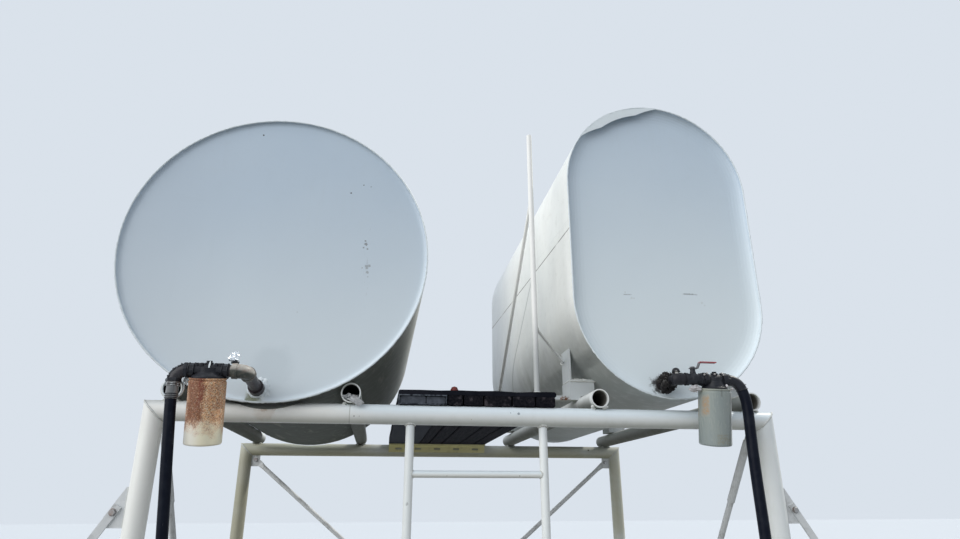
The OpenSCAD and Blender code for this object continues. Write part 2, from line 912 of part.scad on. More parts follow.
// Closed blocks on the rails. A bar ties the first of them to the deck.
module bracket_blocks() {
    block_top = rail_z + pipe_r;
    tie_x = deck_x + deck_w - tie_over;
    tie_z = deck_top + weld_gap;
    color("gainsboro")
        difference() {
            union() {
                for (y = bracket_y)
                    for (side = [0, 1])
                        translate([obround_x, y, block_top])
                            mirror([side, 0, 0])
                                translate([-obround_rail_gap / 2 - bracket_out - block_out, 0, 0])
                                    cube([block_w, bracket_len, block_h]);
                translate([tie_x, bracket_y[0], tie_z])
                    cube([rail_x[2] - pipe_r / 2 - tie_x, tie_w, block_top + eps - tie_z]);
            }
            // Coped to the belly of the tank and to the rail
            translate([obround_x, obround_front, obround_low_z])
                rotate([-90, 0, 0])
                    cylinder(r = obround_r + weld_gap, h = obround_len, $fn = round_fn);
            translate([rail_x[2], front_y, rail_z])
                rotate([-90, 0, 0])
                    cylinder(r = pipe_r, h = stand_d, $fn = round_fn);
        }
}

// Filter canister that hangs from z = 0, with a rolled bead at its top and a domed bottom
module canister(d, h) {
    r = d / 2;
    corner = 5;
    dome = 4;
    bead = 2;
    bowl = [for (a = [-90 : 30 : 0])
        [r - corner + corner * cos(a), -h + dome + corner + corner * sin(a)]];
    rotate_extrude($fn = round_fn)
        polygon(concat([[0, 0], [0, -h], [r / 2, -h + dome / 4]], bowl,
            [[r, -10], [r - bead, -8], [r - bead, -5], [r, -4], [r, 0]]));
}

// Cast filter head over a canister of diameter d. The lid rises in a cone to a tube along X
// with a collar at each port, and a plug screws into the boss on top.
module filter_head(d, span, port_h) {
    lid_r = min(d / 2 - 4, span / 2 - 1);
    lid_h = 7;
    tube_r = 17;
    collar_r = min(22, port_h - 1);
    collar_len = 15;
    boss_r = 11;
    difference() {
        union() {
            rotate_extrude($fn = round_fn)
                polygon([[0, 0], [lid_r, 0], [lid_r, lid_h - 2], [lid_r - 4, lid_h],
                    [tube_r + 9, port_h - 3], [tube_r + 9, port_h + 8], [0, port_h + 8]]);
            translate([0, 0, port_h])
                rotate([0, 90, 0]) {
                    cylinder(r = tube_r, h = span, center = true, $fn = small_fn);
                    for (s = [-1, 1])
                        translate([0, 0, s * (span - collar_len) / 2])
                            cylinder(r = collar_r, h = collar_len, center = true, $fn = 8);
                }
            translate([0, 0, port_h])
                cylinder(r = boss_r, h = tube_r + 4, $fn = small_fn);
            translate([0, 0, port_h + tube_r + 4])
                cylinder(r = boss_r - 3, h = 5, $fn = 6);
        }
        translate([0, 0, port_h])
            rotate([0, 90, 0])
                cylinder(d = nipple_id, h = span + 2 * eps, center = true, $fn = small_fn);
    }
}

left_y = round_front - left_standoff;
left_pipe_x = round_x - left_outlet_x;
left_pipe_z = round_z - round_r + left_outlet_up;
left_port_z = left_pipe_z + left_rise;
left_head_face = round_front + round_head_in;
elbow_reach = elbow_bend_r + band_len;
left_filter_x = left_pipe_x - elbow_reach - left_nipple_gap - left_span / 2;

right_y = obround_front - right_standoff;
right_pipe_x = obround_x - right_outlet_x;
right_pipe_z = obround_bottom + right_outlet_up;
right_head_face = obround_front + obround_head_in;
right_filter_x = obround_x + right_filter_in;
right_valve_x = obround_x + right_valve_in;

// Puts a filter's parts under its ports, swung back about the axis of the ports
module under_ports(x, y, z, port_h) {
    translate([x, y, z])
        rotate([can_swing, 0, 0])
            translate([0, 0, -port_h])
                children();
}

// The left nipple leaves its coupling with a slight rise, and one elbow turns it to the filter
module left_outlet_pipe() {
    run = left_head_face - left_y;
    tilt = atan2(left_rise, run);
    reach = norm([left_rise, run]);
    turn_x = left_pipe_x - (left_filter_x + left_span / 2);
    color("#4a4744")
        difference() {
            translate([left_pipe_x, left_y, left_port_z])
                rotate([-tilt, 0, 0]) {
                    rotate([-90, 0, 0])
                        difference() {
                            union() {
                                translate([0, 0, elbow_bend_r])
                                    cylinder(d = nipple_od, h = reach, $fn = small_fn);
                                translate([0, 0, reach - coupling_len])
                                    cylinder(d = coupling_od, h = 2 * coupling_len, $fn = small_fn);
                                translate([0, 0, elbow_bend_r - eps])
                                    cylinder(d = band_od, h = band_len + eps, $fn = small_fn);
                            }
                            translate([0, 0, elbow_reach])
                                cylinder(d = nipple_id, h = 2 * reach, $fn = small_fn);
                        }
                    translate([-elbow_bend_r, elbow_bend_r, 0])
                        rotate([0, 0, -90])
                            rotate_extrude(angle = 90, $fn = small_fn)
                                translate([elbow_bend_r, 0])
                                    circle(d = elbow_od, $fn = small_fn);
                    translate([-elbow_bend_r + eps, 0, 0])
                        rotate([0, -90, 0])
                            cylinder(d = band_od, h = band_len + eps, $fn = small_fn);
                    translate([-elbow_bend_r, 0, 0])
                        rotate([0, -90, 0])
                            cylinder(d = nipple_od, h = turn_x - elbow_bend_r, $fn = small_fn);
                }
            // The coupling ends on the face of the tank's head
            translate([left_pipe_x - far / 2, left_head_face, left_pipe_z - far / 2])
                cube(far);
        }
}

// Small valve on the elbow, wrapped up to a flat key
module left_valve() {
    stem_d = 14;
    key = [12, 20, 22];
    color("silver")
        translate([left_pipe_x - elbow_reach + stem_d / 2, left_y,
            left_port_z + band_od / 2 + weld_gap]) {
            cylinder(d = stem_d, h = 12, $fn = 24);
            translate([-key[0] / 2, -key[1] / 2, 10])
                cube(key);
        }
}

module left_filter_head() {
    color("#1b1b1e")
        under_ports(left_filter_x, left_y, left_port_z, left_port_h)
            filter_head(left_can_d, left_span, left_port_h);
}

module left_filter_canister() {
    color("#c9a27a")
        under_ports(left_filter_x, left_y, left_port_z, left_port_h)
            canister(left_can_d, left_can_h);
}

left_drop_x = left_filter_x - left_span / 2 - left_drop_reach;
left_ferrule_z = left_port_z - left_ferrule_drop;
fitting_r = 17;

// Swivel elbow with a ferrule round the end of the left hose
module left_hose_fitting() {
    bend_z = left_port_z - left_drop_reach;
    color("#2a2b30") {
        translate([left_drop_x + left_drop_reach, left_y, bend_z])
            rotate([90, 0, 0])
                rotate([0, 0, 90])
                    rotate_extrude(angle = 90, $fn = small_fn)
                        translate([left_drop_reach, 0])
                            circle(r = fitting_r, $fn = 32);
        translate([left_drop_x, left_y, bend_z - 10])
            cylinder(r = fitting_r + 2, h = 12, $fn = 6);
        translate([left_drop_x, left_y, left_ferrule_z])
            cylinder(d = left_hose_d + 2, h = bend_z - left_ferrule_z, $fn = small_fn);
    }
}

valve_r = 20;
stem_h = 14;
valve_half = right_filter_x - right_span / 2 - right_valve_x;

// The right coupling ends on the face of the tank's head, and low down on its curved band
module right_coupling() {
    run = right_head_face - right_y;
    difference() {
        translate([right_pipe_x, right_y, right_pipe_z])
            rotate([-90, 0, 0])
                difference() {
                    union() {
                        translate([0, 0, run - coupling_len])
                            cylinder(d = coupling_od, h = coupling_len, $fn = small_fn);
                        cylinder(d = nipple_od, h = run, $fn = small_fn);
                    }
                    translate([0, 0, elbow_reach])
                        cylinder(d = nipple_id, h = run, $fn = small_fn);
                }
        translate([obround_x, obround_front, obround_low_z])
            rotate([90, 0, 0])
                rotate_extrude($fn = round_fn)
                    head_behind(obround_r - plate_t - weld_gap, obround_head_in,
                        obround_knuckle_w);
    }
}

// Coupling, nipple and a tee whose upper branch is closed by a round cap
module right_outlet_pipe() {
    neck_d = 16;
    neck_h = 22;
    cap_r = 12.5;
    cap_h = 14;
    color("#2b2a2a") {
        right_coupling();
        translate([right_pipe_x, right_y, right_pipe_z]) {
            sphere(d = elbow_od, $fn = small_fn);
            rotate([0, 90, 0]) {
                cylinder(d = nipple_od, h = right_valve_x - valve_half - right_pipe_x,
                    $fn = small_fn);
                translate([0, 0, band_len / 2])
                    cylinder(d = elbow_od, h = band_len, $fn = small_fn);
            }
            cylinder(d = neck_d, h = neck_h + eps, $fn = small_fn);
            translate([0, 0, neck_h])
                rotate_extrude($fn = small_fn)
                    polygon(concat([[0, 0], [cap_r, 0]],
                        [for (a = [0 : 22.5 : 90])
                            [cap_r * cos(a), cap_h - cap_r + cap_r * sin(a)]]));
        }
    }
}

module right_valve_body() {
    shoulder_r = 15;
    stem_r = 8;
    color("#55565a")
        translate([right_valve_x, right_y, right_pipe_z]) {
            rotate([0, 90, 0]) {
                cylinder(r = valve_r - 3, h = 2 * valve_half, center = true, $fn = small_fn);
                sphere(r = valve_r, $fn = small_fn);
                for (s = [-1, 1])
                    translate([0, 0, s * (valve_half - band_len / 2)])
                        cylinder(r = valve_r, h = band_len, center = true, $fn = 8);
            }
            cylinder(r1 = shoulder_r, r2 = stem_r, h = valve_r + stem_h / 2, $fn = small_fn);
            cylinder(r = stem_r, h = valve_r + stem_h - weld_gap, $fn = small_fn);
        }
}

// Stepped lever over the valve, in line with the pipe when the valve is open
module right_valve_lever() {
    lever_t = 3;
    lever_w = 17;
    step_x = 17;
    step_run = 10;
    color("#b3202a")
        translate([right_valve_x, right_y, right_pipe_z + valve_r + stem_h]) {
            cylinder(r = lever_w / 2, h = 2 * lever_t, $fn = 6);
            rotate([90, 0, 0])
                linear_extrude(height = lever_w, center = true)
                    polygon([[-lever_w / 2, 0], [step_x, 0], [step_x + step_run, lever_rise],
                        [lever_len, lever_rise], [lever_len, lever_rise + lever_t],
                        [step_x + step_run - lever_t / 2, lever_rise + lever_t],
                        [step_x - lever_t / 2, lever_t], [-lever_w / 2, lever_t]]);
        }
}

module right_filter_head() {
    color("#1b1b1e")
        under_ports(right_filter_x, right_y, right_pipe_z, right_port_h)
            filter_head(right_can_d, right_span, right_port_h);
}

module right_filter_canister() {
    color("gainsboro")
        under_ports(right_filter_x, right_y, right_pipe_z, right_port_h)
            canister(right_can_d, right_can_h);
}

right_bend_r = 45;
right_bend = 70;
right_nut_len = 9;

// Nut and swept elbow that turn the right hose down
module right_hose_fitting() {
    color("#2a2b30")
        translate([right_filter_x + right_span / 2, right_y, right_pipe_z]) {
            rotate([0, 90, 0])
                cylinder(d = elbow_od, h = right_nut_len, $fn = 6);
            translate([right_nut_len - eps, 0, -right_bend_r])
                rotate([90, 0, 0])
                    rotate([0, 0, 90 - right_bend])
                        rotate_extrude(angle = right_bend, $fn = small_fn)
                            translate([right_bend_r, 0])
                                circle(r = fitting_r, $fn = 32);
        }
}

// Routes of the hoses, from the fitting down to the coil
left_route = [
    [-858, -869, 1872], [-854.5, -869, 1830], [-849, -869, 1770], [-842.5, -869, 1700],
    [-835.5, -869, 1630], [-828.5, -869, 1555], [-821, -869, 1480], [-814, -869, 1405],
    [-806.5, -869, 1330], [-800.5, -869, 1255], [-794, -869, 1180], [-788.5, -869, 1105],
    [-784, -869, 1030], [-780.5, -869, 955], [-778, -869, 880], [-776, -869, 805],
    [-775, -869, 730], [-774.5, -869, 655], [-774, -869, 580], [-774, -869, 505],
    [-774, -869, 430], [-774, -869, 355], [-774, -869, 280], [-774, -868, 210],
    [-774, -864, 150], [-774, -852, 98], [-774, -825, 55], [-774, -783, 27],
    [-774, -732, 17], [-774, -660, 14.5], [-774, -565, 14.5]
];
right_route = [
    [834, -765, 1952], [841, -765, 1926], [844, -765, 1895], [844.5, -765, 1862],
    [843.5, -765, 1820], [842.5, -765, 1775], [842, -765, 1725], [842, -765, 1670],
    [842.5, -765, 1610], [843, -765, 1540], [843, -765, 1460], [843, -765, 1380],
    [843, -765, 1300], [843, -765, 1220], [843, -765, 1140], [843, -765, 1060],
    [843, -765, 980], [843, -765, 900], [843, -765, 820], [843, -765, 740],
    [843, -765, 660], [843, -765, 580], [843, -765, 500], [843, -765, 420],
    [843, -765, 340], [843, -764, 250], [843, -761, 175], [843, -750, 115],
    [843, -719, 64], [843, -672, 31], [843, -613, 19], [843, -525, 17]
];
hose_sides = 10;
left_coil_c = [-614, -565];
left_coil_r = 160;
right_coil_c = [656, -525];
right_coil_r = 187;

// A changed size moves each hose, its coil and its nozzle along with the fitting
left_move = [left_drop_x - left_route[0][0], left_y - left_route[0][1], 0];
right_move = [right_filter_x + right_span / 2 + right_nut_len - eps
    + right_bend_r * sin(right_bend) - right_route[0][0], right_y - right_route[0][1], 0];

// Tube of radius r through the points of a route
module swept_tube(route, r) {
    n = len(route);
    dirs = [for (i = [0 : n - 1])
        let (a = route[max(i - 1, 0)], b = route[min(i + 1, n - 1)]) (b - a) / norm(b - a)];
    side = [1, 0, 0];
    rings = [for (i = [0 : n - 1])
        let (u0 = side - (side * dirs[i]) * dirs[i], u = u0 / norm(u0), w = cross(dirs[i], u))
        [for (k = [0 : hose_sides - 1])
            route[i] + r * (cos(360 * k / hose_sides) * u + sin(360 * k / hose_sides) * w)]];
    points = [for (ring = rings) each ring];
    sides = [for (i = [0 : n - 2])
        for (k = [0 : hose_sides - 1])
            let (j = (k + 1) % hose_sides)
            [i * hose_sides + j, i * hose_sides + k, (i + 1) * hose_sides + k,
                (i + 1) * hose_sides + j]];
    first = [for (k = [0 : hose_sides - 1]) k];
    last = [for (k = [hose_sides - 1 : -1 : 0]) (n - 1) * hose_sides + k];
    polyhedron(points, concat(sides, [first], [last]));
}

// Outer shape of two turns of hose, one on the other
module coil(c, r, d) {
    translate([c[0], c[1], 0])
        rotate_extrude($fn = small_fn)
            translate([r - d / 2, 0])
                union() {
                    translate([d / 2, d / 2])
                        circle(d = d, $fn = 24);
                    translate([d / 2, 3 * d / 2])
                        circle(d = d, $fn = 24);
                    translate([0, d / 2])
                        square([d, d]);
                }
}

module left_hose() {
    color("#15151a")
        translate(left_move)
            swept_tube(left_route, left_hose_d / 2);
}

module left_hose_coil() {
    color("#15151a")
        translate(left_move)
            coil(left_coil_c, left_coil_r, left_hose_d);
}

module right_hose() {
    color("#15151a")
        translate(right_move)
            swept_tube(right_route, right_hose_d / 2);
}

module right_hose_coil() {
    color("#15151a")
        translate(right_move)
            coil(right_coil_c, right_coil_r, right_hose_d);
}

// A hand nozzle with its inlet at the origin and its spout along X, for a hose of diameter d
module nozzle(d) {
    inlet_len = 30;
    body_r = 22;
    body_end = 123;
    neck_end = 145;
    spout_end = 214;
    spout_r = 11;
    spout_bend_r = 60;
    spout_bend = 35;
    guard = [100, 60, 12];
    guard_wall = 8;
    rotate([0, 90, 0])
        rotate_extrude($fn = small_fn)
            polygon([[0, 0], [d / 2 + 2, 0], [d / 2 + 2, inlet_len], [body_r, inlet_len + 6],
                [body_r, body_end - 6], [body_r - 4, body_end], [spout_r + 2, neck_end],
                [spout_r, neck_end + 2], [spout_r, spout_end], [0, spout_end]]);
    translate([spout_end, spout_bend_r, 0])
        rotate([0, 0, -90])
            rotate_extrude(angle = spout_bend, $fn = small_fn)
                translate([spout_bend_r, 0])
                    circle(r = spout_r, $fn = 32);
    // Guard on one side with the squeeze lever inside it
    translate([inlet_len - guard_wall, -body_r - guard[1] + guard_wall, -guard[2] / 2])
        difference() {
            cube(guard);
            translate([guard_wall, guard_wall, -eps])
                cube([guard[0] - 2 * guard_wall, guard[1] - 2 * guard_wall, guard[2] + 2 * eps]);
        }
    translate([inlet_len, -body_r - guard[1] / 3, -guard[2] / 2])
        rotate([0, 0, guard_wall])
            cube([guard[0] - 2 * guard_wall, guard_wall, guard[2]]);
}

// Each nozzle continues the upper turn of its coil towards the front and dips to the ground
nozzle_dip = 7;

module left_nozzle() {
    color("silver")
        translate([left_coil_c[0] + left_coil_r, left_coil_c[1], 1.5 * left_hose_d] + left_move)
            rotate([0, nozzle_dip, -90])
                mirror([0, 1, 0])
                    nozzle(left_hose_d);
}

module right_nozzle() {
    color("silver")
        translate([right_coil_c[0] - right_coil_r, right_coil_c[1], 1.5 * right_hose_d]
            + right_move)
            rotate([0, nozzle_dip, -90])
                nozzle(right_hose_d);
}

round_tank_shell();
round_tank_front_head();
round_tank_back_head();
round_tank_top_fittings();
obround_tank_shell();
obround_tank_front_head();
obround_tank_back_head();
obround_tank_bent_rim();
obround_tank_top_fittings();
front_beam();
back_beam();
leg(left_x, front_y, -1);  // front_left_leg
leg(right_x, front_y, 1);  // front_right_leg
leg(left_x, back_y, -1);  // back_left_leg
leg(right_x, back_y, 1);  // back_right_leg
round_tank_rails();
obround_tank_rails();
back_cross_braces();
side_braces();
brace_tabs();
outrigger_braces();
outrigger_feet();
ladder_stiles();
ladder_rungs();
deck_channel();
deck_boards();
deck_top_sheet();
deck_back_angle();
handrail_post();
handrail_stay();
handrail_strut();
tank_brackets();
bracket_blocks();
left_outlet_pipe();
left_valve();
left_filter_head();
left_filter_canister();
left_hose_fitting();
left_hose();
left_hose_coil();
left_nozzle();
right_outlet_pipe();
right_valve_body();
right_valve_lever();
right_filter_head();
right_filter_canister();
right_hose_fitting();
right_hose();
right_hose_coil();
right_nozzle();
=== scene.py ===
import math
import random

import bmesh
import bpy
from mathutils import Matrix, Vector, noise


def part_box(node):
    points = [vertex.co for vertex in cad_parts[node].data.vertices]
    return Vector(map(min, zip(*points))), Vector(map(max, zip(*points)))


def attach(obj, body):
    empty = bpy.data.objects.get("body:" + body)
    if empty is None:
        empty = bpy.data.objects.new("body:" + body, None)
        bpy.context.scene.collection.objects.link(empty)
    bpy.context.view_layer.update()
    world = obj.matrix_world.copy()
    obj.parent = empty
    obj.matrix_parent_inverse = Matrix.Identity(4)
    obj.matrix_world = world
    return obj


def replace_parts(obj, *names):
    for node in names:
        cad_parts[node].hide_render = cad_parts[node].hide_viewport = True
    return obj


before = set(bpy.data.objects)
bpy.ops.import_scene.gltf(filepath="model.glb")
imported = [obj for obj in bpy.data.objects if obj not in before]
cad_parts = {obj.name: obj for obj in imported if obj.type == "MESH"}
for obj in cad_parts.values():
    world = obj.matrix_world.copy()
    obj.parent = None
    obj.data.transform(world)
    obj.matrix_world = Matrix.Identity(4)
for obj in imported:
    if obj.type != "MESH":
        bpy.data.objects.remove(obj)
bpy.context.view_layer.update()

scene = bpy.context.scene
scene.view_settings.view_transform = "Standard"
noise.seed_set(5)  # else noise_vector takes its offsets from the clock

X, Y, Z = Vector((1, 0, 0)), Vector((0, 1, 0)), Vector((0, 0, 1))


def middle(low, high):
    return (low + high) / 2


# Places and sizes of the frame, in metres
PIPE_R = 0.03015
low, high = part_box("front_beam")
BEAM_Y = (low.y + high.y) / 2
BEAM_Z = high.z - PIPE_R
LEG_X = high.x - PIPE_R
BACK_Y = middle(*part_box("back_beam")).y
RAIL_Z = BEAM_Z + 2 * PIPE_R
low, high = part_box("round_tank_rails")
RAILS_ROUND = (low.x + PIPE_R, high.x - PIPE_R)
RAIL_ENDS = (low.y, high.y)
low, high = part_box("obround_tank_rails")
RAILS_OBROUND = (low.x + PIPE_R, high.x - PIPE_R)

low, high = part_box("round_tank_shell")
ROUND_C = middle(low, high)
ROUND_R = (high.x - low.x) / 2
ROUND_FRONT, ROUND_BACK = low.y, high.y
ROUND_TOP = high.z
low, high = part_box("obround_tank_shell")
OB_C = middle(low, high)
OB_R = (high.x - low.x) / 2
OB_HALF = (high.z - low.z) / 2 - OB_R
OB_FRONT, OB_BACK = low.y, high.y
OB_TOP = high.z
PLATE = 0.0027

# Openings on the tanks' tops: X, the shell's top, and Y of the fill cap and of the vent
TOP_OPENINGS = ((ROUND_C.x, ROUND_TOP, -0.288, 0.372), (OB_C.x, OB_TOP, -0.218, 0.442))

low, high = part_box("ladder_stiles")
STILE_R = (high.y - low.y) / 2
STILES_X = (low.x + STILE_R, high.x - STILE_R)
low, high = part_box("ladder_rungs")
RUNG_R = (high.y - low.y) / 2
RUNG_TOP, RUNG_LOW = high.z - RUNG_R, low.z + RUNG_R
RUNG_COUNT = 6
low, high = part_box("handrail_post")
POST_X, POST_R = middle(low, high).x, (high.x - low.x) / 2
DECK_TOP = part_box("deck_top_sheet")[1].z

# Lugs of the braces. Each side lug has its pipe's Y, its way along Y, and its height
BACK_LUG_X, BACK_LUGS_Z = 0.915, (1.818, 0.310)
SIDE_LUGS = ((BEAM_Y, 1, 1.866), (BACK_Y, -1, 0.218))
LUG_HALF = 0.029
LUG_PLATE = 0.006
OUTRIGGER_LUG = (1.02715, -0.648, 1.590)
OUTRIGGER_LUG_ENDS = (1.656, 1.549)
OUTRIGGER_FOOT_X = 1.9777
FOOT_TOP = 0.009

# Brackets of the obround tank: their edges along X and Y, and the height of their foot
BRACKETS_X = ((0.341, 0.437), (0.875, 0.971))
BRACKETS_Y = ((-0.515, -0.419), (0.643, 0.739))
BRACKET_Z = 2.0124

# Outlets: the left coupling and filter, the right pipe and filter, and how far the heads tilt
LEFT_FILTER_X, LEFT_Y, LEFT_Z = -0.7725, -0.8692, 1.950
LEFT_HOSE_X = -0.858
LEFT_CAN_R, LEFT_CAN_LOW, LEFT_CAN_TALL = 0.048, 1.752, 0.189
COUPLING_X, COUPLING_Z = -0.6755, 1.932
RIGHT_FILTER_X, RIGHT_PIPE_X, RIGHT_Y, RIGHT_Z = 0.743, 0.616, -0.765, 1.98215
HEAD_TILT = math.radians(12)


# Camera: the photograph's place, direction and field of view
CAMERA_PLACE = Vector((-0.310, -2.683, 1.613))
LOOK_UP, LOOK_RIGHT, ROLL = math.radians(19.97), math.radians(8.73), math.radians(-0.10)
FOCAL_PIXELS, IMAGE_W = 642.29, 960


def make_camera():
    data = bpy.data.cameras.new("camera")
    data.sensor_width = 36
    data.lens = FOCAL_PIXELS / IMAGE_W * data.sensor_width
    data.clip_end = 200
    camera = bpy.data.objects.new("camera", data)
    scene.collection.objects.link(camera)
    turn = (
        Matrix.Rotation(-LOOK_RIGHT, 4, "Z")
        @ Matrix.Rotation(math.radians(90) + LOOK_UP, 4, "X")
        @ Matrix.Rotation(ROLL, 4, "Z")
    )
    camera.matrix_world = Matrix.Translation(CAMERA_PLACE) @ turn
    scene.camera = camera


make_camera()


# Hoses: the routes from the fittings down to the coils, in metres
LEFT_HOSE_D, RIGHT_HOSE_D = 0.029, 0.034
LEFT_DROP_Y, RIGHT_DROP_Y = -0.869, -0.765
LEFT_ROUTE = [(x, LEFT_DROP_Y, z) for x, z in (
    (-0.858, 1.872), (-0.8545, 1.830), (-0.849, 1.770), (-0.8425, 1.700), (-0.8355, 1.630),
    (-0.8285, 1.555), (-0.821, 1.480), (-0.814, 1.405), (-0.8065, 1.330), (-0.8005, 1.255),
    (-0.794, 1.180), (-0.7885, 1.105), (-0.784, 1.030), (-0.7805, 0.955), (-0.778, 0.880),
    (-0.776, 0.805), (-0.775, 0.730), (-0.7745, 0.655), (-0.774, 0.580), (-0.774, 0.505),
    (-0.774, 0.430), (-0.774, 0.355), (-0.774, 0.280),
)]
LEFT_ROUTE += [
    (-0.774, -0.868, 0.210), (-0.774, -0.864, 0.150), (-0.774, -0.852, 0.098), (-0.774, -0.825, 0.055),
    (-0.774, -0.783, 0.027), (-0.774, -0.732, 0.017), (-0.774, -0.660, 0.0145), (-0.774, -0.565, 0.0145),
]
RIGHT_ROUTE = [(x, RIGHT_DROP_Y, z) for x, z in (
    (0.834, 1.952), (0.841, 1.926), (0.844, 1.895), (0.8445, 1.862), (0.8435, 1.820),
    (0.8425, 1.775), (0.842, 1.725), (0.842, 1.670), (0.8425, 1.610), (0.843, 1.540),
    (0.843, 1.460), (0.843, 1.380), (0.843, 1.300), (0.843, 1.220), (0.843, 1.140),
    (0.843, 1.060), (0.843, 0.980), (0.843, 0.900), (0.843, 0.820), (0.843, 0.740),
    (0.843, 0.660), (0.843, 0.580), (0.843, 0.500), (0.843, 0.420), (0.843, 0.340),
)]
RIGHT_ROUTE += [
    (0.843, -0.764, 0.250), (0.843, -0.761, 0.175), (0.843, -0.750, 0.115), (0.843, -0.719, 0.064),
    (0.843, -0.672, 0.031), (0.843, -0.613, 0.019), (0.843, -0.525, 0.017),
]
LEFT_COIL, LEFT_COIL_R = (-0.614, -0.565), 0.160
RIGHT_COIL, RIGHT_COIL_R = (0.656, -0.525), 0.187
COIL_STEPS = 24
COIL_TURNS = 1.5
CLIMB_START, CLIMB = 0.80, 1.02


def smooth(t):
    t = min(max(t, 0.0), 1.0)
    return t * t * (3 - 2 * t)


def coil_points(centre, radius, diameter, start, way):
    """A turn on the ground, then half a turn on top of it. way is 1 or -1 about +Z."""
    points = []
    for i in range(1, int(COIL_TURNS * COIL_STEPS) + 1):
        turn = i / COIL_STEPS
        angle = math.radians(start) + way * 2 * math.pi * turn
        z = diameter / 2 + diameter * CLIMB * smooth((turn - CLIMB_START) / (1 - CLIMB_START))
        points.append((centre[0] + radius * math.cos(angle), centre[1] + radius * math.sin(angle), z))
    return points


def hose_curve(name, points, diameter):
    data = bpy.data.curves.new(name, "CURVE")
    data.dimensions = "3D"
    data.bevel_depth = 1.0  # times each point's radius
    data.bevel_resolution = 6
    data.resolution_u = 4
    data.use_fill_caps = True
    spline = data.splines.new("BEZIER")
    spline.bezier_points.add(len(points) - 1)
    for place, point in zip(spline.bezier_points, points):
        place.co = point
        place.handle_left_type = place.handle_right_type = "AUTO"
        place.radius = diameter / 2
    hose = bpy.data.objects.new(name, data)
    scene.collection.objects.link(hose)
    return hose


def make_hose(side, route, coil_centre, coil_r, diameter, start, way):
    points = route + coil_points(coil_centre, coil_r, diameter, start, way)
    hose = hose_curve(f"{side}_fuel_hose", points, diameter)
    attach(hose, "root")
    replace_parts(hose, f"{side}_hose", f"{side}_hose_coil")
    return hose


left_hose = make_hose("left", LEFT_ROUTE, LEFT_COIL, LEFT_COIL_R, LEFT_HOSE_D, 180, -1)
right_hose = make_hose("right", RIGHT_ROUTE, RIGHT_COIL, RIGHT_COIL_R, RIGHT_HOSE_D, 0, 1)


# Light and floor
FLOOR_SHOWN = (0.57, 0.62, 0.68)
SKY_SHOWN = (0.70, 0.76, 0.83)
FLOOR_BOUNCE = (0.13, 0.13, 0.12)
AMBIENT = (0.94, 0.98, 1.04)
AMBIENT_LEVEL = 0.62


def shown_or_light(tree):
    """Light Path's answer whether a ray shows the background, straight or in a reflection."""
    path = tree.nodes.new("ShaderNodeLightPath")
    most = path.outputs["Is Camera Ray"]
    for name in ("Is Glossy Ray", "Is Transmission Ray"):
        larger = tree.nodes.new("ShaderNodeMath")
        larger.operation = "MAXIMUM"
        tree.links.new(most, larger.inputs[0])
        tree.links.new(path.outputs[name], larger.inputs[1])
        most = larger.outputs[0]
    return most


def make_world():
    world = bpy.data.worlds.new("studio")
    scene.world = world
    world.use_nodes = True
    tree = world.node_tree
    tree.nodes.clear()
    lit = tree.nodes.new("ShaderNodeBackground")
    lit.inputs["Color"].default_value = (*AMBIENT, 1)
    lit.inputs["Strength"].default_value = AMBIENT_LEVEL
    shown = tree.nodes.new("ShaderNodeBackground")
    shown.inputs["Color"].default_value = (*SKY_SHOWN, 1)
    pick = tree.nodes.new("ShaderNodeMixShader")
    out = tree.nodes.new("ShaderNodeOutputWorld")
    tree.links.new(shown_or_light(tree), pick.inputs[0])
    tree.links.new(lit.outputs[0], pick.inputs[1])
    tree.links.new(shown.outputs[0], pick.inputs[2])
    tree.links.new(pick.outputs[0], out.inputs["Surface"])


def make_floor():
    mesh = bpy.data.meshes.new("floor")
    size = 60
    mesh.from_pydata([(-size, -size, 0), (size, -size, 0), (size, size, 0), (-size, size, 0)], [],
                     [(0, 1, 2, 3)])
    floor = bpy.data.objects.new("floor", mesh)
    scene.collection.objects.link(floor)
    material = bpy.data.materials.new("floor")
    material.use_nodes = True
    tree = material.node_tree
    shader = tree.nodes["Principled BSDF"]
    shader.inputs["Roughness"].default_value = 0.9
    pick = tree.nodes.new("ShaderNodeMix")
    pick.data_type = "RGBA"
    pick.inputs[6].default_value = (*FLOOR_BOUNCE, 1)
    pick.inputs[7].default_value = (*FLOOR_SHOWN, 1)
    tree.links.new(shown_or_light(tree), pick.inputs[0])
    tree.links.new(pick.outputs[2], shader.inputs["Base Color"])
    mesh.materials.append(material)


def make_sun(name, towards, strength, angle, colour):
    data = bpy.data.lights.new(name, "SUN")
    data.energy = strength
    data.angle = math.radians(angle)
    data.color = colour
    lamp = bpy.data.objects.new(name, data)
    scene.collection.objects.link(lamp)
    lamp.rotation_mode = "QUATERNION"
    lamp.rotation_quaternion = Vector(towards).to_track_quat("-Z", "Y")


make_world()
make_floor()
make_sun("key", towards=(-0.62, -0.19, -0.76), strength=2.0, angle=1.5, colour=(1.0, 0.96, 0.88))
make_sun("fill", towards=(0.78, 0.52, -0.36), strength=1.75, angle=60, colour=(1.0, 0.99, 0.97))


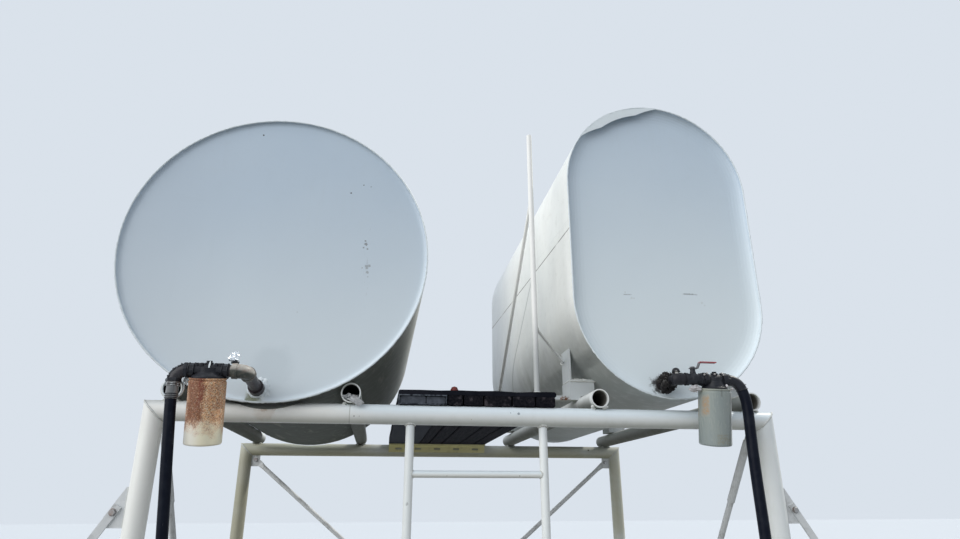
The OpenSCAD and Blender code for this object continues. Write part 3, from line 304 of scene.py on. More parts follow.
class Shader:
    """One procedural material. Its pattern lies in the row frame, in metres."""

    def __init__(self, name, roughness=0.5, metallic=0.0, shine=0.5):
        self.material = bpy.data.materials.new(name)
        self.material.use_nodes = True
        self.tree = self.material.node_tree
        self.surface = self.tree.nodes["Principled BSDF"]
        self.surface.inputs["Roughness"].default_value = roughness
        self.surface.inputs["Metallic"].default_value = metallic
        self.surface.inputs["Specular IOR Level"].default_value = shine
        self.place = self.node("ShaderNodeTexCoord").outputs["Object"]
        split = self.node("ShaderNodeSeparateXYZ")
        self.put(split.inputs[0], self.place)
        self.x, self.y, self.z = split.outputs
        self.heights = None
        self.colour = None

    def node(self, kind, **settings):
        made = self.tree.nodes.new(kind)
        for key, value in settings.items():
            setattr(made, key, value)
        return made

    def put(self, socket, value):
        if isinstance(value, bpy.types.NodeSocket):
            self.tree.links.new(value, socket)
        elif hasattr(value, "__len__") and len(value) == 3 and socket.type == "RGBA":
            socket.default_value = (*value, 1)
        else:
            socket.default_value = value

    def math(self, operation, a, b=0.0, clamp=False):
        made = self.node("ShaderNodeMath", operation=operation, use_clamp=clamp)
        self.put(made.inputs[0], a)
        self.put(made.inputs[1], b)
        return made.outputs[0]

    def times(self, *values):
        result = values[0]
        for value in values[1:]:
            result = self.math("MULTIPLY", result, value)
        return result

    def most(self, *values):
        result = values[0]
        for value in values[1:]:
            result = self.math("MAXIMUM", result, value)
        return result

    def scaled(self, size, stretch, offset):
        """The place in units of size metres, longer along stretch."""
        lay = self.node("ShaderNodeMapping")
        self.put(lay.inputs["Vector"], self.place)
        lay.inputs["Location"].default_value = offset
        lay.inputs["Scale"].default_value = [1 / (size * s) for s in stretch]
        return lay.outputs[0]

    def noise(self, size, detail=3.0, rough=0.55, stretch=(1, 1, 1), shift=0.0, bend=0.0):
        """Noise from 0 to 1 whose features are about size metres across, longer along stretch."""
        place = self.scaled(size, stretch, (shift, 1.7 * shift, 0.6 * shift))
        made = self.node("ShaderNodeTexNoise")
        self.put(made.inputs["Vector"], place)
        made.inputs["Scale"].default_value = 1.0
        made.inputs["Detail"].default_value = detail
        made.inputs["Roughness"].default_value = rough
        made.inputs["Distortion"].default_value = bend
        return made.outputs["Fac"]

    def cells(self, size, shift=0.0):
        """Cells about size metres across."""
        place = self.scaled(size, (1, 1, 1), (shift, shift, shift))
        made = self.node("ShaderNodeTexVoronoi")
        self.put(made.inputs["Vector"], place)
        made.inputs["Scale"].default_value = 1.0
        return made

    def ease(self, value, start, end):
        """0 below start and 1 above end, or the other way round where start is larger."""
        made = self.node("ShaderNodeMapRange", interpolation_type="SMOOTHSTEP")
        turned = start > end
        self.put(made.inputs["Value"], value)
        made.inputs["From Min"].default_value = end if turned else start
        made.inputs["From Max"].default_value = start if turned else end
        made.inputs["To Min"].default_value = 1.0 if turned else 0.0
        made.inputs["To Max"].default_value = 0.0 if turned else 1.0
        return made.outputs[0]

    def band(self, value, start, end, soft):
        """1 between start and end, with soft edges."""
        return self.times(self.ease(value, start - soft, start), self.ease(value, end + soft, end))

    def mix(self, share, a, b):
        made = self.node("ShaderNodeMix", data_type="RGBA")
        self.put(made.inputs[0], share)
        self.put(made.inputs[6], a)
        self.put(made.inputs[7], b)
        return made.outputs[2]

    def distance(self, place, point):
        made = self.node("ShaderNodeVectorMath", operation="DISTANCE")
        self.put(made.inputs[0], place)
        made.inputs[1].default_value = point
        return made.outputs["Value"]

    def tint(self, tone, *shares):
        """Mixes a tone into the material's colour by the product of the shares."""
        self.colour = self.mix(self.times(*shares), self.colour, tone)

    def near(self, point, radius, ragged=0.35, grain=0.012):
        """1 close to a point and 0 past radius, with a ragged edge."""
        wander = self.times(self.math("SUBTRACT", self.noise(grain, 3, 0.6, shift=point[0]), 0.5),
                            2 * ragged * radius)
        reach = self.math("ADD", self.distance(self.place, point), wander)
        return self.ease(reach, radius, 0.45 * radius)

    def facing(self, axis, start, end):
        """How far the surface looks along an axis, eased from start to end."""
        look = self.node("ShaderNodeNewGeometry").outputs["Normal"]
        dot = self.node("ShaderNodeVectorMath", operation="DOT_PRODUCT")
        self.put(dot.inputs[0], look)
        dot.inputs[1].default_value = axis
        return self.ease(dot.outputs["Value"], start, end)

    def raise_by(self, height):
        """Adds a height in metres to the surface's relief."""
        self.heights = height if self.heights is None else self.math("ADD", self.heights, height)

    def done(self, roughness=None, soft_edge=0.0):
        self.put(self.surface.inputs["Base Color"], self.colour)
        if roughness is not None:
            self.put(self.surface.inputs["Roughness"], roughness)
        if self.heights is not None:
            bump = self.node("ShaderNodeBump")
            bump.inputs["Strength"].default_value = 1.0
            bump.inputs["Distance"].default_value = 1.0
            self.put(bump.inputs["Height"], self.heights)
            if soft_edge:
                rounding = self.node("ShaderNodeBevel", samples=4)
                rounding.inputs["Radius"].default_value = soft_edge
                self.put(bump.inputs["Normal"], rounding.outputs[0])
            self.put(self.surface.inputs["Normal"], bump.outputs[0])
        return self.material


RUST_DARK = (0.085, 0.032, 0.014)
RUST = (0.26, 0.095, 0.030)
RUST_LIGHT = (0.46, 0.23, 0.10)


def rust_colour(s):
    """Rust from dark brown to orange, in grains."""
    grains = s.ease(s.noise(0.004, 4, 0.7), 0.35, 0.65)
    patches = s.ease(s.noise(0.025, 3, 0.6, shift=4), 0.4, 0.62)
    return s.mix(patches, s.mix(grains, RUST_DARK, RUST), s.mix(grains, RUST, RUST_LIGHT))


def spots(s, places):
    """The union of small ragged spots. places is a list of (point, radius)."""
    return s.most(*[s.near(point, radius, 0.9, 0.006) for point, radius in places])


def paint(name, base, second, dirt, roughness=0.42, mottle=0.10, runs=0.12, under=0.5, over=0.25,
          speckle=0.5, rust=0.0, dents=0.0012, dent_size=0.22, top_shade_share=0.5, shine=0.35, rust_spots=(),
          marks=(), extra=None):
    """Weathered paint: cloudy colour, painted shade on upward faces, runs and settled dirt, dirt and painted
    shade on the undersides, rust specks, orange peel and dents.
    rust_spots and marks are lists of (point, radius)."""
    s = Shader(name, roughness, 0.0, shine)
    clouds = s.ease(s.noise(0.45, 3, 0.5, shift=3), 0.3, 0.7)
    s.colour = s.mix(clouds, base, second)
    # Painted shade: upward faces darkened towards 0.6 of the base colour.
    top_shade = s.times(s.facing((0, 0, 1), 0.35, 0.95), top_shade_share)
    s.tint([0.60 * v for v in base], top_shade)
    blotches = s.noise(0.035, 4, 0.6, shift=8)
    s.tint(dirt, s.ease(blotches, 0.5, 0.75), mottle)
    streaks = s.noise(0.018, 4, 0.6, stretch=(1, 1, 11), shift=1)
    runny = s.times(s.ease(streaks, 0.52, 0.72), s.ease(s.noise(0.3, 2, 0.5, shift=5), 0.4, 0.65))
    s.tint(dirt, runny, runs)
    # Dirt and painted shade on downward faces, by the under share; settled joins it with the dirt on upward
    # faces.
    below = s.times(s.facing((0, 0, -1), 0.1, 0.9), s.ease(blotches, 0.15, 0.55), under)
    above = s.times(s.facing((0, 0, 1), 0.75, 1.0), s.ease(blotches, 0.3, 0.62), over)
    settled = s.most(below, above)
    s.tint(dirt, settled)
    specks = s.ease(s.cells(0.02, shift=2).outputs["Distance"], 0.09, 0.045)
    rare = s.ease(s.noise(0.16, 2, 0.5, shift=12), 0.60, 0.66)
    rusty = s.times(specks, rare, speckle)
    if rust:
        flakes = s.noise(0.03, 5, 0.65, shift=20)
        rusty = s.most(rusty, s.ease(flakes, 0.72 - 0.14 * rust, 0.78 - 0.14 * rust))
    if rust_spots:
        broken = s.ease(s.noise(0.007, 4, 0.7), 0.38, 0.52)
        rusty = s.most(rusty, s.times(spots(s, rust_spots), broken))
    s.tint(rust_colour(s), rusty)
    if marks:
        chipped = spots(s, marks)
        s.tint(CHIP, chipped)
        s.raise_by(s.times(chipped, -0.0003))
    if extra:
        extra(s)
    s.raise_by(s.times(s.noise(dent_size, 2, 0.45, shift=6), dents * 2))
    s.raise_by(s.times(s.noise(0.0035, 2, 0.5), 0.00006))
    s.raise_by(s.times(rusty, 0.0002))
    rough = s.math("ADD", roughness, s.times(s.most(runny, settled), 0.22))
    rough = s.math("ADD", rough, s.times(rusty, 0.3), clamp=True)
    return s.done(rough, soft_edge=0.0012)


# Marks in the paint, read off the photograph and given in metres on the part
CHIP = (0.035, 0.028, 0.026)
ROUND_HEAD_Y = ROUND_FRONT + 0.009
OB_HEAD_Y = OB_FRONT + 0.022
BEAM_FACE = BEAM_Y - PIPE_R
BACK_FACE = BACK_Y - PIPE_R
STILE_FACE, RUNG_FACE = BEAM_Y - 0.0134, BEAM_Y - 0.0107


def on_face(y, *marks):
    """Marks on a face at y, from (x, z, radius)."""
    return [((x, y, z), radius) for x, z, radius in marks]


ROUND_CHIPS = on_face(
    ROUND_HEAD_Y,
    (-0.3835, 2.416, 0.0065), (-0.386, 2.428, 0.0035), (-0.390, 2.404, 0.0035), (-0.378, 2.400, 0.0045),
    (-0.376, 2.337, 0.0085), (-0.369, 2.341, 0.0070), (-0.374, 2.318, 0.0060), (-0.391, 2.333, 0.0030),
    (-0.371, 2.303, 0.0030), (-0.751, 2.797, 0.0035), (-0.444, 2.600, 0.0035), (-0.403, 2.633, 0.0025),
    (-0.379, 2.628, 0.0025), (-0.582, 2.175, 0.0028), (-0.380, 1.998, 0.0040),
)
OB_CHIPS = on_face(
    OB_HEAD_Y,
    (0.508, 2.297, 0.0040), (0.530, 2.278, 0.0060), (0.538, 2.277, 0.0045), (0.788, 2.271, 0.0055),
    (0.797, 2.262, 0.0040), (0.745, 2.303, 0.0035), (0.757, 2.303, 0.0035),
)
BEAM_SPECKS = on_face(
    BEAM_FACE,
    (0.106, 1.884, 0.0040), (0.121, 1.876, 0.0055), (0.095, 1.878, 0.0028), (-0.387, 1.860, 0.0035),
    (-0.372, 1.860, 0.0025), (-0.885, 1.850, 0.0060), (0.051, 1.892, 0.0030), (-0.075, 1.893, 0.0035),
)
LADDER_SPECKS = on_face(STILE_FACE, (-0.218, 1.610, 0.0055), (-0.198, 1.526, 0.0030))
LADDER_SPECKS += on_face(RUNG_FACE, (-0.101, 1.689, 0.0030), (0.124, 1.690, 0.0030))
BACK_SPECKS = on_face(BACK_FACE, (0.225, 1.881, 0.0050), (0.305, 1.890, 0.0040), (0.815, 1.880, 0.0060))
BEAM_RUST = on_face(BEAM_FACE, (-0.651, 1.877, 0.014), (-0.622, 1.878, 0.007))
BRACKET_RUST = [((0.319, -0.515, 1.943), 0.022)]


def round_head_extra(s):
    """Painted light, lighter and less blue towards the bottom; pale paint, a faint darker patch and an olive
    stain at the coupling, and a scratch trail.
    """
    # Painted light: lighter and less blue towards the bottom.
    s.tint(HEAD_LOW, s.ease(s.z, 2.75, 1.98))
    s.tint((0.40, 0.47, 0.56), s.ease(s.x, -0.70, -1.12), 0.28)
    pale = s.near((COUPLING_X, ROUND_HEAD_Y, COUPLING_Z), 0.052, 0.25, 0.02)
    s.tint((0.74, 0.82, 0.85), pale, 0.75)
    # A faint darker grey patch right of the coupling.
    darker_patch = s.near((-0.640, ROUND_HEAD_Y, 2.000), 0.085, 0.3, 0.05)
    s.tint((0.34, 0.42, 0.47), darker_patch, 0.16)
    olive = s.near((COUPLING_X - 0.014, ROUND_HEAD_Y, COUPLING_Z - 0.030), 0.022, 0.7, 0.012)
    s.tint((0.115, 0.135, 0.060), olive, 0.85)
    drips = s.times(s.band(s.x, COUPLING_X - 0.026, COUPLING_X + 0.012, 0.010), s.ease(s.z, 1.935, 1.915))
    s.tint((0.30, 0.32, 0.24), drips, 0.45)
    trail = s.times(s.band(s.x, -0.384, -0.370, 0.006), s.band(s.z, 2.25, 2.47, 0.02))
    scratched = s.ease(s.noise(0.006, 4, 0.7, stretch=(1, 1, 6)), 0.58, 0.70)
    s.tint((0.22, 0.24, 0.26), trail, scratched, 0.40)


def obround_head_extra(s):
    """Painted light, lighter and less blue towards the bottom; dark grime splashed round the outlet, and
    thin scuffed dashes.
    """
    # Painted light: lighter and less blue towards the bottom.
    s.tint((0.77, 0.86, 0.91), s.ease(s.z, 3.10, 2.02))
    splash = s.near((0.602, OB_HEAD_Y, 1.978), 0.038, 0.75, 0.012)
    s.tint((0.025, 0.022, 0.022), splash, 0.92)
    dashes = s.most(s.times(s.band(s.z, 2.300, 2.303, 0.0015), s.band(s.x, 0.725, 0.770, 0.008)),
                    s.times(s.band(s.z, 2.289, 2.291, 0.0012), s.band(s.x, 0.505, 0.528, 0.006)))
    thin = s.ease(s.noise(0.004, 4, 0.7, stretch=(5, 1, 1)), 0.42, 0.55)
    s.tint((0.16, 0.17, 0.19), dashes, thin, 0.6)


# The seam of the obround tank climbs a little towards the back, as it does in the photograph
SEAM_Z, SEAM_CLIMB = 2.5423, 0.0333


def obround_shell_extra(s):
    """A lap seam along the left flank, with a dirty lower edge; painted shade, greyer low down and far back;
    and a painted shadow of the handrail stay, pressed in as a shallow dent.
    """
    # Painted shade: greyer towards the back and towards the bottom of the shell.
    s.tint((0.50, 0.55, 0.60), s.ease(s.y, 0.10, 0.80), 0.80)
    s.tint((0.34, 0.37, 0.36), s.ease(s.z, 2.30, 1.98), 0.72)
    line = s.math("SUBTRACT", s.z, s.times(s.y, SEAM_CLIMB))
    left = s.ease(s.x, 0.40, 0.36)
    seam = s.times(s.band(line, SEAM_Z - 0.0024, SEAM_Z + 0.0006, 0.0014), left)
    broken = s.ease(s.noise(0.05, 3, 0.6, stretch=(1, 3, 1), shift=9), 0.30, 0.5)
    s.raise_by(s.times(s.band(line, SEAM_Z, SEAM_Z + 0.035, 0.002), left, 0.0016))
    s.raise_by(s.times(s.noise(0.22, 2, 0.45, stretch=(1, 1, 2.4), shift=17), left, 0.034))
    # Painted shadow of the handrail stay on the flank, also pressed in as a shallow dent.
    slant = s.math("ADD", s.z, s.times(s.y, 0.68))
    painted_stay_shadow = s.times(s.band(slant, 2.4490, 2.4570, 0.010), s.band(s.y, -0.07, 0.62, 0.06), left)
    s.tint((0.36, 0.37, 0.37), painted_stay_shadow, 0.50)
    s.raise_by(s.times(painted_stay_shadow, -0.0012))
    s.tint((0.16, 0.14, 0.12), seam, broken, 0.85)


def round_shell_extra(s):
    """Painted shade: a dark belly, darker towards the bottom, with pale tide lines."""
    # Painted shade: the belly darkened towards the bottom.
    low = s.ease(s.z, 2.42, 1.97)
    s.tint((0.072, 0.080, 0.068), low, 0.93)
    tide = s.ease(s.noise(0.05, 4, 0.6, stretch=(1, 6, 1), shift=31), 0.56, 0.66)
    s.tint((0.30, 0.30, 0.26), tide, low, 0.35)


def frame_extra(s):
    """Painted light and shade: a paler left end and legs, a blue sky reflection on upward faces, olive shade
    on the undersides and a shadow at the beam's notch; also the seam in the front beam.
    """
    # Painted light: the beam's left end and the legs paler on their sides.
    left_end = s.ease(s.x, -0.30, -0.50)
    not_up = s.facing((0, 0, 1), 0.7, 0.2)
    s.tint((0.99, 0.99, 0.95), left_end, not_up, 0.6)
    s.tint((0.98, 1.0, 0.97), s.ease(s.z, 1.83, 1.78), not_up, 0.55)
    # Painted reflection: a blue sky tint on upward-facing sides.
    painted_sky_reflection = s.times(s.facing((0, -0.2, 1), -0.1, 0.6), s.math("SUBTRACT", 1.0, left_end))
    s.tint((0.72, 0.86, 0.97), painted_sky_reflection, 0.5)
    # Painted shade: an olive tint on the undersides, standing in for light from the ground.
    olive = s.times(s.facing((0, 0, -1), 0.2, 0.95), 0.22)
    s.tint((0.60, 0.60, 0.48), olive)
    front = s.times(s.ease(s.y, BEAM_Y + 0.04, BEAM_Y), s.ease(s.z, 1.80, 1.83))
    seam = s.times(s.band(s.x, RAILS_ROUND[1] - 0.0008, RAILS_ROUND[1] + 0.0008, 0.0012), front)
    s.tint((0.30, 0.30, 0.26), seam, 0.5)
    # Painted shadow: near black on the beam's top at the notch under the round tank.
    notch = s.times(s.near((-0.655, BEAM_Y, 1.892), 0.150, 0.2, 0.03), s.facing((0, 0, 1), 0.50, 0.78))
    s.tint((0.022, 0.024, 0.020), notch, 0.95)
    warm = s.near((-0.650, BEAM_FACE, 1.872), 0.040, 0.5, 0.015)
    s.tint((0.50, 0.33, 0.20), warm, 0.22)


def back_frame_extra(s):
    """Olive grime over the frame's back beam and the tops of its legs, painted shade on the back left leg,
    and painted olive shade on the undersides.
    """
    grime = s.times(s.ease(s.noise(0.12, 3, 0.5, stretch=(3, 1, 1), shift=14), 0.25, 0.6), 0.6)
    s.tint((0.50, 0.49, 0.34), grime)
    # Painted shade: the back left leg darker below the beam.
    s.tint((0.34, 0.33, 0.24), s.ease(s.x, -0.80, -0.93), s.ease(s.z, 1.90, 1.80), 0.75)
    # Painted shade: undersides darker and more olive.
    s.tint((0.40, 0.38, 0.26), s.facing((0, 0, -1), -0.2, 0.8), 0.5)


def rail_extra(s):
    """Painted shade: darker, greener pipes under the tanks, and painted shade in the bores; the mouths stay
    pale.
    """
    # Painted shade: the pipes darker and greener under the tanks, back from their mouths.
    under_tank_shade = s.times(s.ease(s.y, RAIL_ENDS[0] + 0.004, RAIL_ENDS[0] + 0.03), s.facing((0, 0, -1), -0.7, 0.6))
    share = s.math("SUBTRACT", 0.88, s.times(s.ease(s.x, 0.0, 0.1), 0.16))
    s.tint((0.060, 0.063, 0.050), under_tank_shade, share)
    inside = s.times(s.ease(s.y, RAIL_ENDS[0] + 0.002, RAIL_ENDS[0] + 0.02),
                     s.ease(s.y, RAIL_ENDS[1] - 0.002, RAIL_ENDS[1] - 0.02))
    bore = s.times(s.most(*[rail_bore(s, x) for x in (*RAILS_ROUND, *RAILS_OBROUND)]), inside)
    # Painted shade inside the bores: near black under the round tank, grey under the obround tank.
    bore_shade = s.mix(s.ease(s.x, 0.0, 0.1), (0.030, 0.030, 0.034), (0.16, 0.155, 0.14))
    s.tint(bore_shade, bore)


def handrail_extra(s):
    """Painted shade: greyer paint low on the post."""
    # Painted shade low on the post.
    low = s.times(s.ease(s.z, 2.25, 2.02), s.ease(s.y, -0.620, -0.636), 0.85)
    s.tint((0.40, 0.43, 0.44), low)


def rail_bore(s, x):
    """1 inside the bore of the rail at x."""
    flat = s.node("ShaderNodeCombineXYZ")
    s.put(flat.inputs[0], s.x)
    s.put(flat.inputs[2], s.z)
    return s.ease(s.distance(flat.outputs[0], (x, 0, RAIL_Z)), PIPE_R - 0.0025, PIPE_R - 0.0035)


def metal(name, base, second, roughness=0.38, metallic=0.85, stain=(0.10, 0.085, 0.06), share=0.3,
          grain=0.02):
    """Bare or plated metal with grains, fine relief and stains."""
    s = Shader(name, roughness, metallic)
    flecks = s.cells(grain, shift=3).outputs["Color"]
    split = s.node("ShaderNodeSeparateXYZ")
    s.put(split.inputs[0], flecks)
    s.colour = s.mix(s.times(split.outputs[0], 0.55), base, second)
    worn = s.noise(0.05, 4, 0.6, shift=7)
    s.tint(stain, s.ease(worn, 0.5, 0.72), share)
    s.raise_by(s.times(s.noise(0.004, 3, 0.6, shift=2), 0.00008))
    s.raise_by(s.times(worn, 0.0004))
    rough = s.math("ADD", roughness, s.times(s.ease(worn, 0.45, 0.8), 0.3), clamp=True)
    return s.done(rough, soft_edge=0.0008)


def dark(name, base, dust, roughness=0.45, dusty=0.35, grain=0.012, bump=0.00025, extra=None,
         shine=0.3):
    """Dark cast iron, plastic or rubber with dust on its upper sides and in its pores."""
    s = Shader(name, roughness, 0.0, shine)
    pores = s.noise(grain, 5, 0.65, shift=4)
    s.colour = s.mix(s.ease(pores, 0.35, 0.65), base, [1.7 * v for v in base])
    settled = s.times(s.facing((0, 0, 1), 0.2, 1.0), s.ease(s.noise(0.02, 4, 0.6, shift=6), 0.35, 0.65))
    flecks = s.ease(s.noise(0.005, 4, 0.7, shift=9), 0.60, 0.72)
    s.tint(dust, s.most(settled, s.times(flecks, 0.7)), dusty)
    if extra:
        extra(s)
    s.raise_by(s.times(pores, bump))
    rough = s.math("ADD", roughness, s.times(s.ease(pores, 0.4, 0.8), 0.25), clamp=True)
    return s.done(rough, soft_edge=0.0008)


def channel_extra(s):
    """Scuffed grey lips at the front of the channel."""
    lips = s.times(s.ease(s.y, BEAM_Y - 0.014, BEAM_Y - 0.019), s.ease(s.noise(0.012, 4, 0.6), 0.35, 0.6))
    s.tint((0.13, 0.15, 0.18), lips, 0.8)


def left_pipe_extra(s):
    """The elbow has a painted cream sky reflection on top and painted grey-green shade below; the nipple is
    brown-black with a scuffed band.
    """
    elbow = s.ease(s.y, LEFT_Y + 0.034, LEFT_Y + 0.026)
    # Painted reflection and shade: cream on the sky-facing top, grey-green below.
    painted_sky_reflection = s.facing((0.35, -0.25, 0.9), 0.12, 0.5)
    tone = s.noise(0.012, 4, 0.6, shift=3)
    cream = s.mix(s.ease(tone, 0.45, 0.7), (0.42, 0.41, 0.38), (0.34, 0.28, 0.25))
    under = s.mix(s.ease(tone, 0.4, 0.7), (0.055, 0.062, 0.055), (0.12, 0.115, 0.10))
    s.tint(s.mix(painted_sky_reflection, under, cream), elbow)
    gap = s.band(s.x, -0.7215, -0.7160, 0.001)
    s.tint((0.012, 0.010, 0.012), gap, elbow)
    scuff = s.times(s.band(s.y, LEFT_Y + 0.074, LEFT_Y + 0.092, 0.004), s.facing((0.3, -0.2, 0.9), 0.0, 0.5))
    s.tint((0.40, 0.36, 0.31), scuff, s.ease(tone, 0.3, 0.55), 0.8)


def right_pipe_extra(s):
    """White paint on the neck of the cap, and pale flecks low on the coupling."""
    neck = s.near((RIGHT_PIPE_X - 0.002, RIGHT_Y - 0.008, RIGHT_Z + 0.020), 0.008, 0.6, 0.004)
    s.tint((0.62, 0.62, 0.60), neck)
    flecks = s.times(s.near((0.628, RIGHT_Y + 0.03, RIGHT_Z - 0.018), 0.03, 0.3, 0.02),
                     s.ease(s.noise(0.003, 3, 0.7), 0.55, 0.62))
    s.tint((0.45, 0.44, 0.42), flecks, 0.8)


def swivel_extra(s):
    """Grey ferrule at the bottom with bright rings, under a dirty black swivel."""
    ferrule = s.ease(s.z, 1.9065, 1.9055)
    tone = s.ease(s.noise(0.01, 3, 0.6, stretch=(1, 1, 4)), 0.4, 0.6)
    grey = s.mix(tone, (0.16, 0.17, 0.18), (0.26, 0.27, 0.28))
    s.tint(grey, ferrule)
    rings = s.most(*[s.band(s.z, z, z + 0.0014, 0.0006) for z in (1.9072, 1.9120, 1.9150)])
    s.tint((0.34, 0.34, 0.34), rings, 0.7)


def make_left_canister():
    """Cream paint under rust speckle: a dark patch left of the middle, a clean bottom, and painted sunlight
    warming the right half.
    """
    s = Shader("left_canister_paint", 0.45)
    across = s.math("DIVIDE", s.math("SUBTRACT", s.x, LEFT_FILTER_X - LEFT_CAN_R), 2 * LEFT_CAN_R)
    up = s.math("DIVIDE", s.math("SUBTRACT", s.z, LEFT_CAN_LOW), LEFT_CAN_TALL)
    wander = s.times(s.math("SUBTRACT", s.noise(0.03, 4, 0.6, shift=5), 0.5), 0.5)
    height = s.math("ADD", up, wander)
    # Painted sunlight: the right half warmer and a little brighter.
    warm = s.ease(across, 0.30, 0.62)
    cream = s.mix(warm, (0.90, 0.88, 0.78), (0.98, 0.92, 0.70))
    rust_zone = s.ease(height, 0.10, 0.40)
    tone = s.ease(s.noise(0.012, 4, 0.6, shift=2), 0.35, 0.65)
    orange = s.mix(tone, (0.80, 0.36, 0.12), (0.56, 0.17, 0.05))
    tinted = s.times(rust_zone, s.ease(s.noise(0.005, 4, 0.7, shift=1), 0.22, 0.58), 0.80)
    s.colour = s.mix(tinted, cream, orange)
    sides = s.math("ADD", across, s.times(wander, 0.5))
    patch = s.times(s.band(sides, 0.18, 0.46, 0.16), s.band(height, 0.40, 0.98, 0.18))
    fine = s.math("ADD", s.noise(0.0026, 3, 0.7, shift=11), s.times(patch, 0.13))
    grains = s.times(s.ease(fine, 0.50, 0.58), rust_zone)
    s.tint((0.20, 0.062, 0.026), grains, 0.80)
    pale = s.ease(s.noise(0.0028, 3, 0.7, shift=21), 0.58, 0.64)
    s.tint((0.88, 0.76, 0.52), pale, rust_zone, 0.45)
    patchy = s.ease(s.noise(0.005, 4, 0.7, shift=13), 0.34, 0.60)
    s.tint((0.150, 0.050, 0.020), patch, patchy, 0.70)
    stripe = s.times(s.band(sides, 0.42, 0.50, 0.07), s.band(height, 0.60, 0.98, 0.10))
    s.tint((0.20, 0.030, 0.018), stripe, patchy, 0.7)
    s.raise_by(s.times(grains, rust_zone, 0.00025))
    s.raise_by(s.times(patch, patchy, 0.0002))
    rough = s.math("ADD", 0.35, s.times(rust_zone, 0.35))
    return s.done(rough, soft_edge=0.001)


def make_right_canister():
    """Glossy grey-white paint with a painted sunlit highlight on its right edge, an orange rust patch, a
    brown stain and dusty streaks.
    """
    s = Shader("right_canister_paint", 0.24)
    tone = s.ease(s.noise(0.05, 3, 0.5, stretch=(1, 1, 4), shift=3), 0.3, 0.7)
    s.colour = s.mix(tone, (0.27, 0.315, 0.315), (0.32, 0.36, 0.34))
    # Painted highlight: sunlight along the right edge, near white.
    edge = s.ease(s.x, 0.772, 0.786)
    s.tint((0.93, 0.95, 0.94), edge)
    streaks = s.ease(s.noise(0.008, 4, 0.6, stretch=(1, 1, 9), shift=2), 0.52, 0.70)
    s.tint((0.30, 0.31, 0.26), streaks, 0.16)
    left = s.times(s.band(s.x, 0.697, 0.704, 0.005), s.band(s.z, 1.880, 1.918, 0.018))
    fleck = s.ease(s.noise(0.006, 4, 0.7, shift=8), 0.36, 0.55)
    s.tint((0.48, 0.27, 0.11), left, fleck, 0.62)
    stain = s.times(s.band(s.x, 0.728, 0.768, 0.008), s.band(s.z, 1.784, 1.806, 0.008))
    s.tint((0.26, 0.23, 0.14), stain, fleck, 0.45)
    drip = s.times(s.band(s.x, 0.738, 0.742, 0.002), s.band(s.z, 1.925, 1.948, 0.006))
    s.tint((0.16, 0.17, 0.16), drip, 0.5)
    rim = s.ease(s.z, 1.938, 1.946)
    s.tint((0.46, 0.45, 0.34), rim, 0.35)
    s.raise_by(s.times(left, fleck, 0.0002))
    s.raise_by(s.times(s.noise(0.004, 2, 0.5), 0.00004))
    rough = s.math("ADD", 0.24, s.times(s.most(left, streaks), 0.3))
    return s.done(rough, soft_edge=0.001)


def make_rubber():
    """Black hose cover: faint wrap marks, dust along the top and scuffs."""
    s = Shader("hose_cover", 0.42, 0.0, 0.08)
    tone = s.noise(0.03, 4, 0.6, shift=4)
    s.colour = s.mix(s.ease(tone, 0.35, 0.7), (0.004, 0.006, 0.014), (0.010, 0.013, 0.022))
    scuffs = s.ease(s.noise(0.006, 4, 0.7, stretch=(1, 1, 5), shift=6), 0.62, 0.74)
    s.tint((0.11, 0.12, 0.13), scuffs, 0.35)
    dust = s.times(s.facing((0, 0, 1), 0.3, 1.0), s.ease(tone, 0.4, 0.65), 0.35)
    s.tint((0.16, 0.155, 0.14), dust)
    s.raise_by(s.times(s.noise(0.0025, 3, 0.6, stretch=(1, 1, 0.5)), 0.00010))
    rough = s.math("ADD", 0.32, s.times(s.most(scuffs, dust), 0.35))
    return s.done(rough)


def make_boards():
    """Black-stained boards: dark grain, worn grey patches and chips."""
    s = Shader("deck_board_wood", 0.8, 0.0, 0.02)
    grain = s.noise(0.006, 5, 0.65, stretch=(1, 14, 1), shift=3)
    s.colour = s.mix(s.ease(grain, 0.35, 0.65), (0.005, 0.006, 0.009), (0.018, 0.017, 0.021))
    worn = s.times(s.ease(s.noise(0.035, 4, 0.65, shift=7), 0.52, 0.66),
                   s.ease(s.y, BEAM_Y + 0.1, BEAM_Y - 0.01))
    s.tint((0.085, 0.075, 0.085), worn, 0.75)
    chips = s.ease(s.noise(0.012, 4, 0.7, shift=15), 0.66, 0.72)
    s.tint((0.24, 0.23, 0.24), chips, worn, 0.8)
    s.raise_by(s.times(grain, 0.0012))
    s.raise_by(s.times(s.noise(0.02, 3, 0.6, shift=2), 0.0012))
    return s.done(soft_edge=0.002)


def make_mat():
    """Black sheet over the boards, wrinkled and dusty, with pale flecks."""
    s = Shader("deck_sheet", 0.7, 0.0, 0.08)
    creases = s.noise(0.09, 4, 0.6, stretch=(1, 2, 1), shift=2, bend=0.6)
    s.colour = s.mix(s.ease(creases, 0.4, 0.62), (0.004, 0.005, 0.009), (0.011, 0.012, 0.018))
    dust = s.times(s.facing((0, 0, 1), 0.5, 1.0), s.ease(s.noise(0.05, 4, 0.6, shift=6), 0.4, 0.65), 0.45)
    s.tint((0.085, 0.085, 0.080), dust)
    flecks = s.ease(s.noise(0.008, 4, 0.7, shift=16), 0.67, 0.72)
    s.tint((0.13, 0.10, 0.11), flecks, 0.5)
    s.raise_by(s.times(creases, 0.003))
    s.raise_by(s.times(s.noise(0.004, 3, 0.6), 0.0003))
    return s.done(soft_edge=0.002)


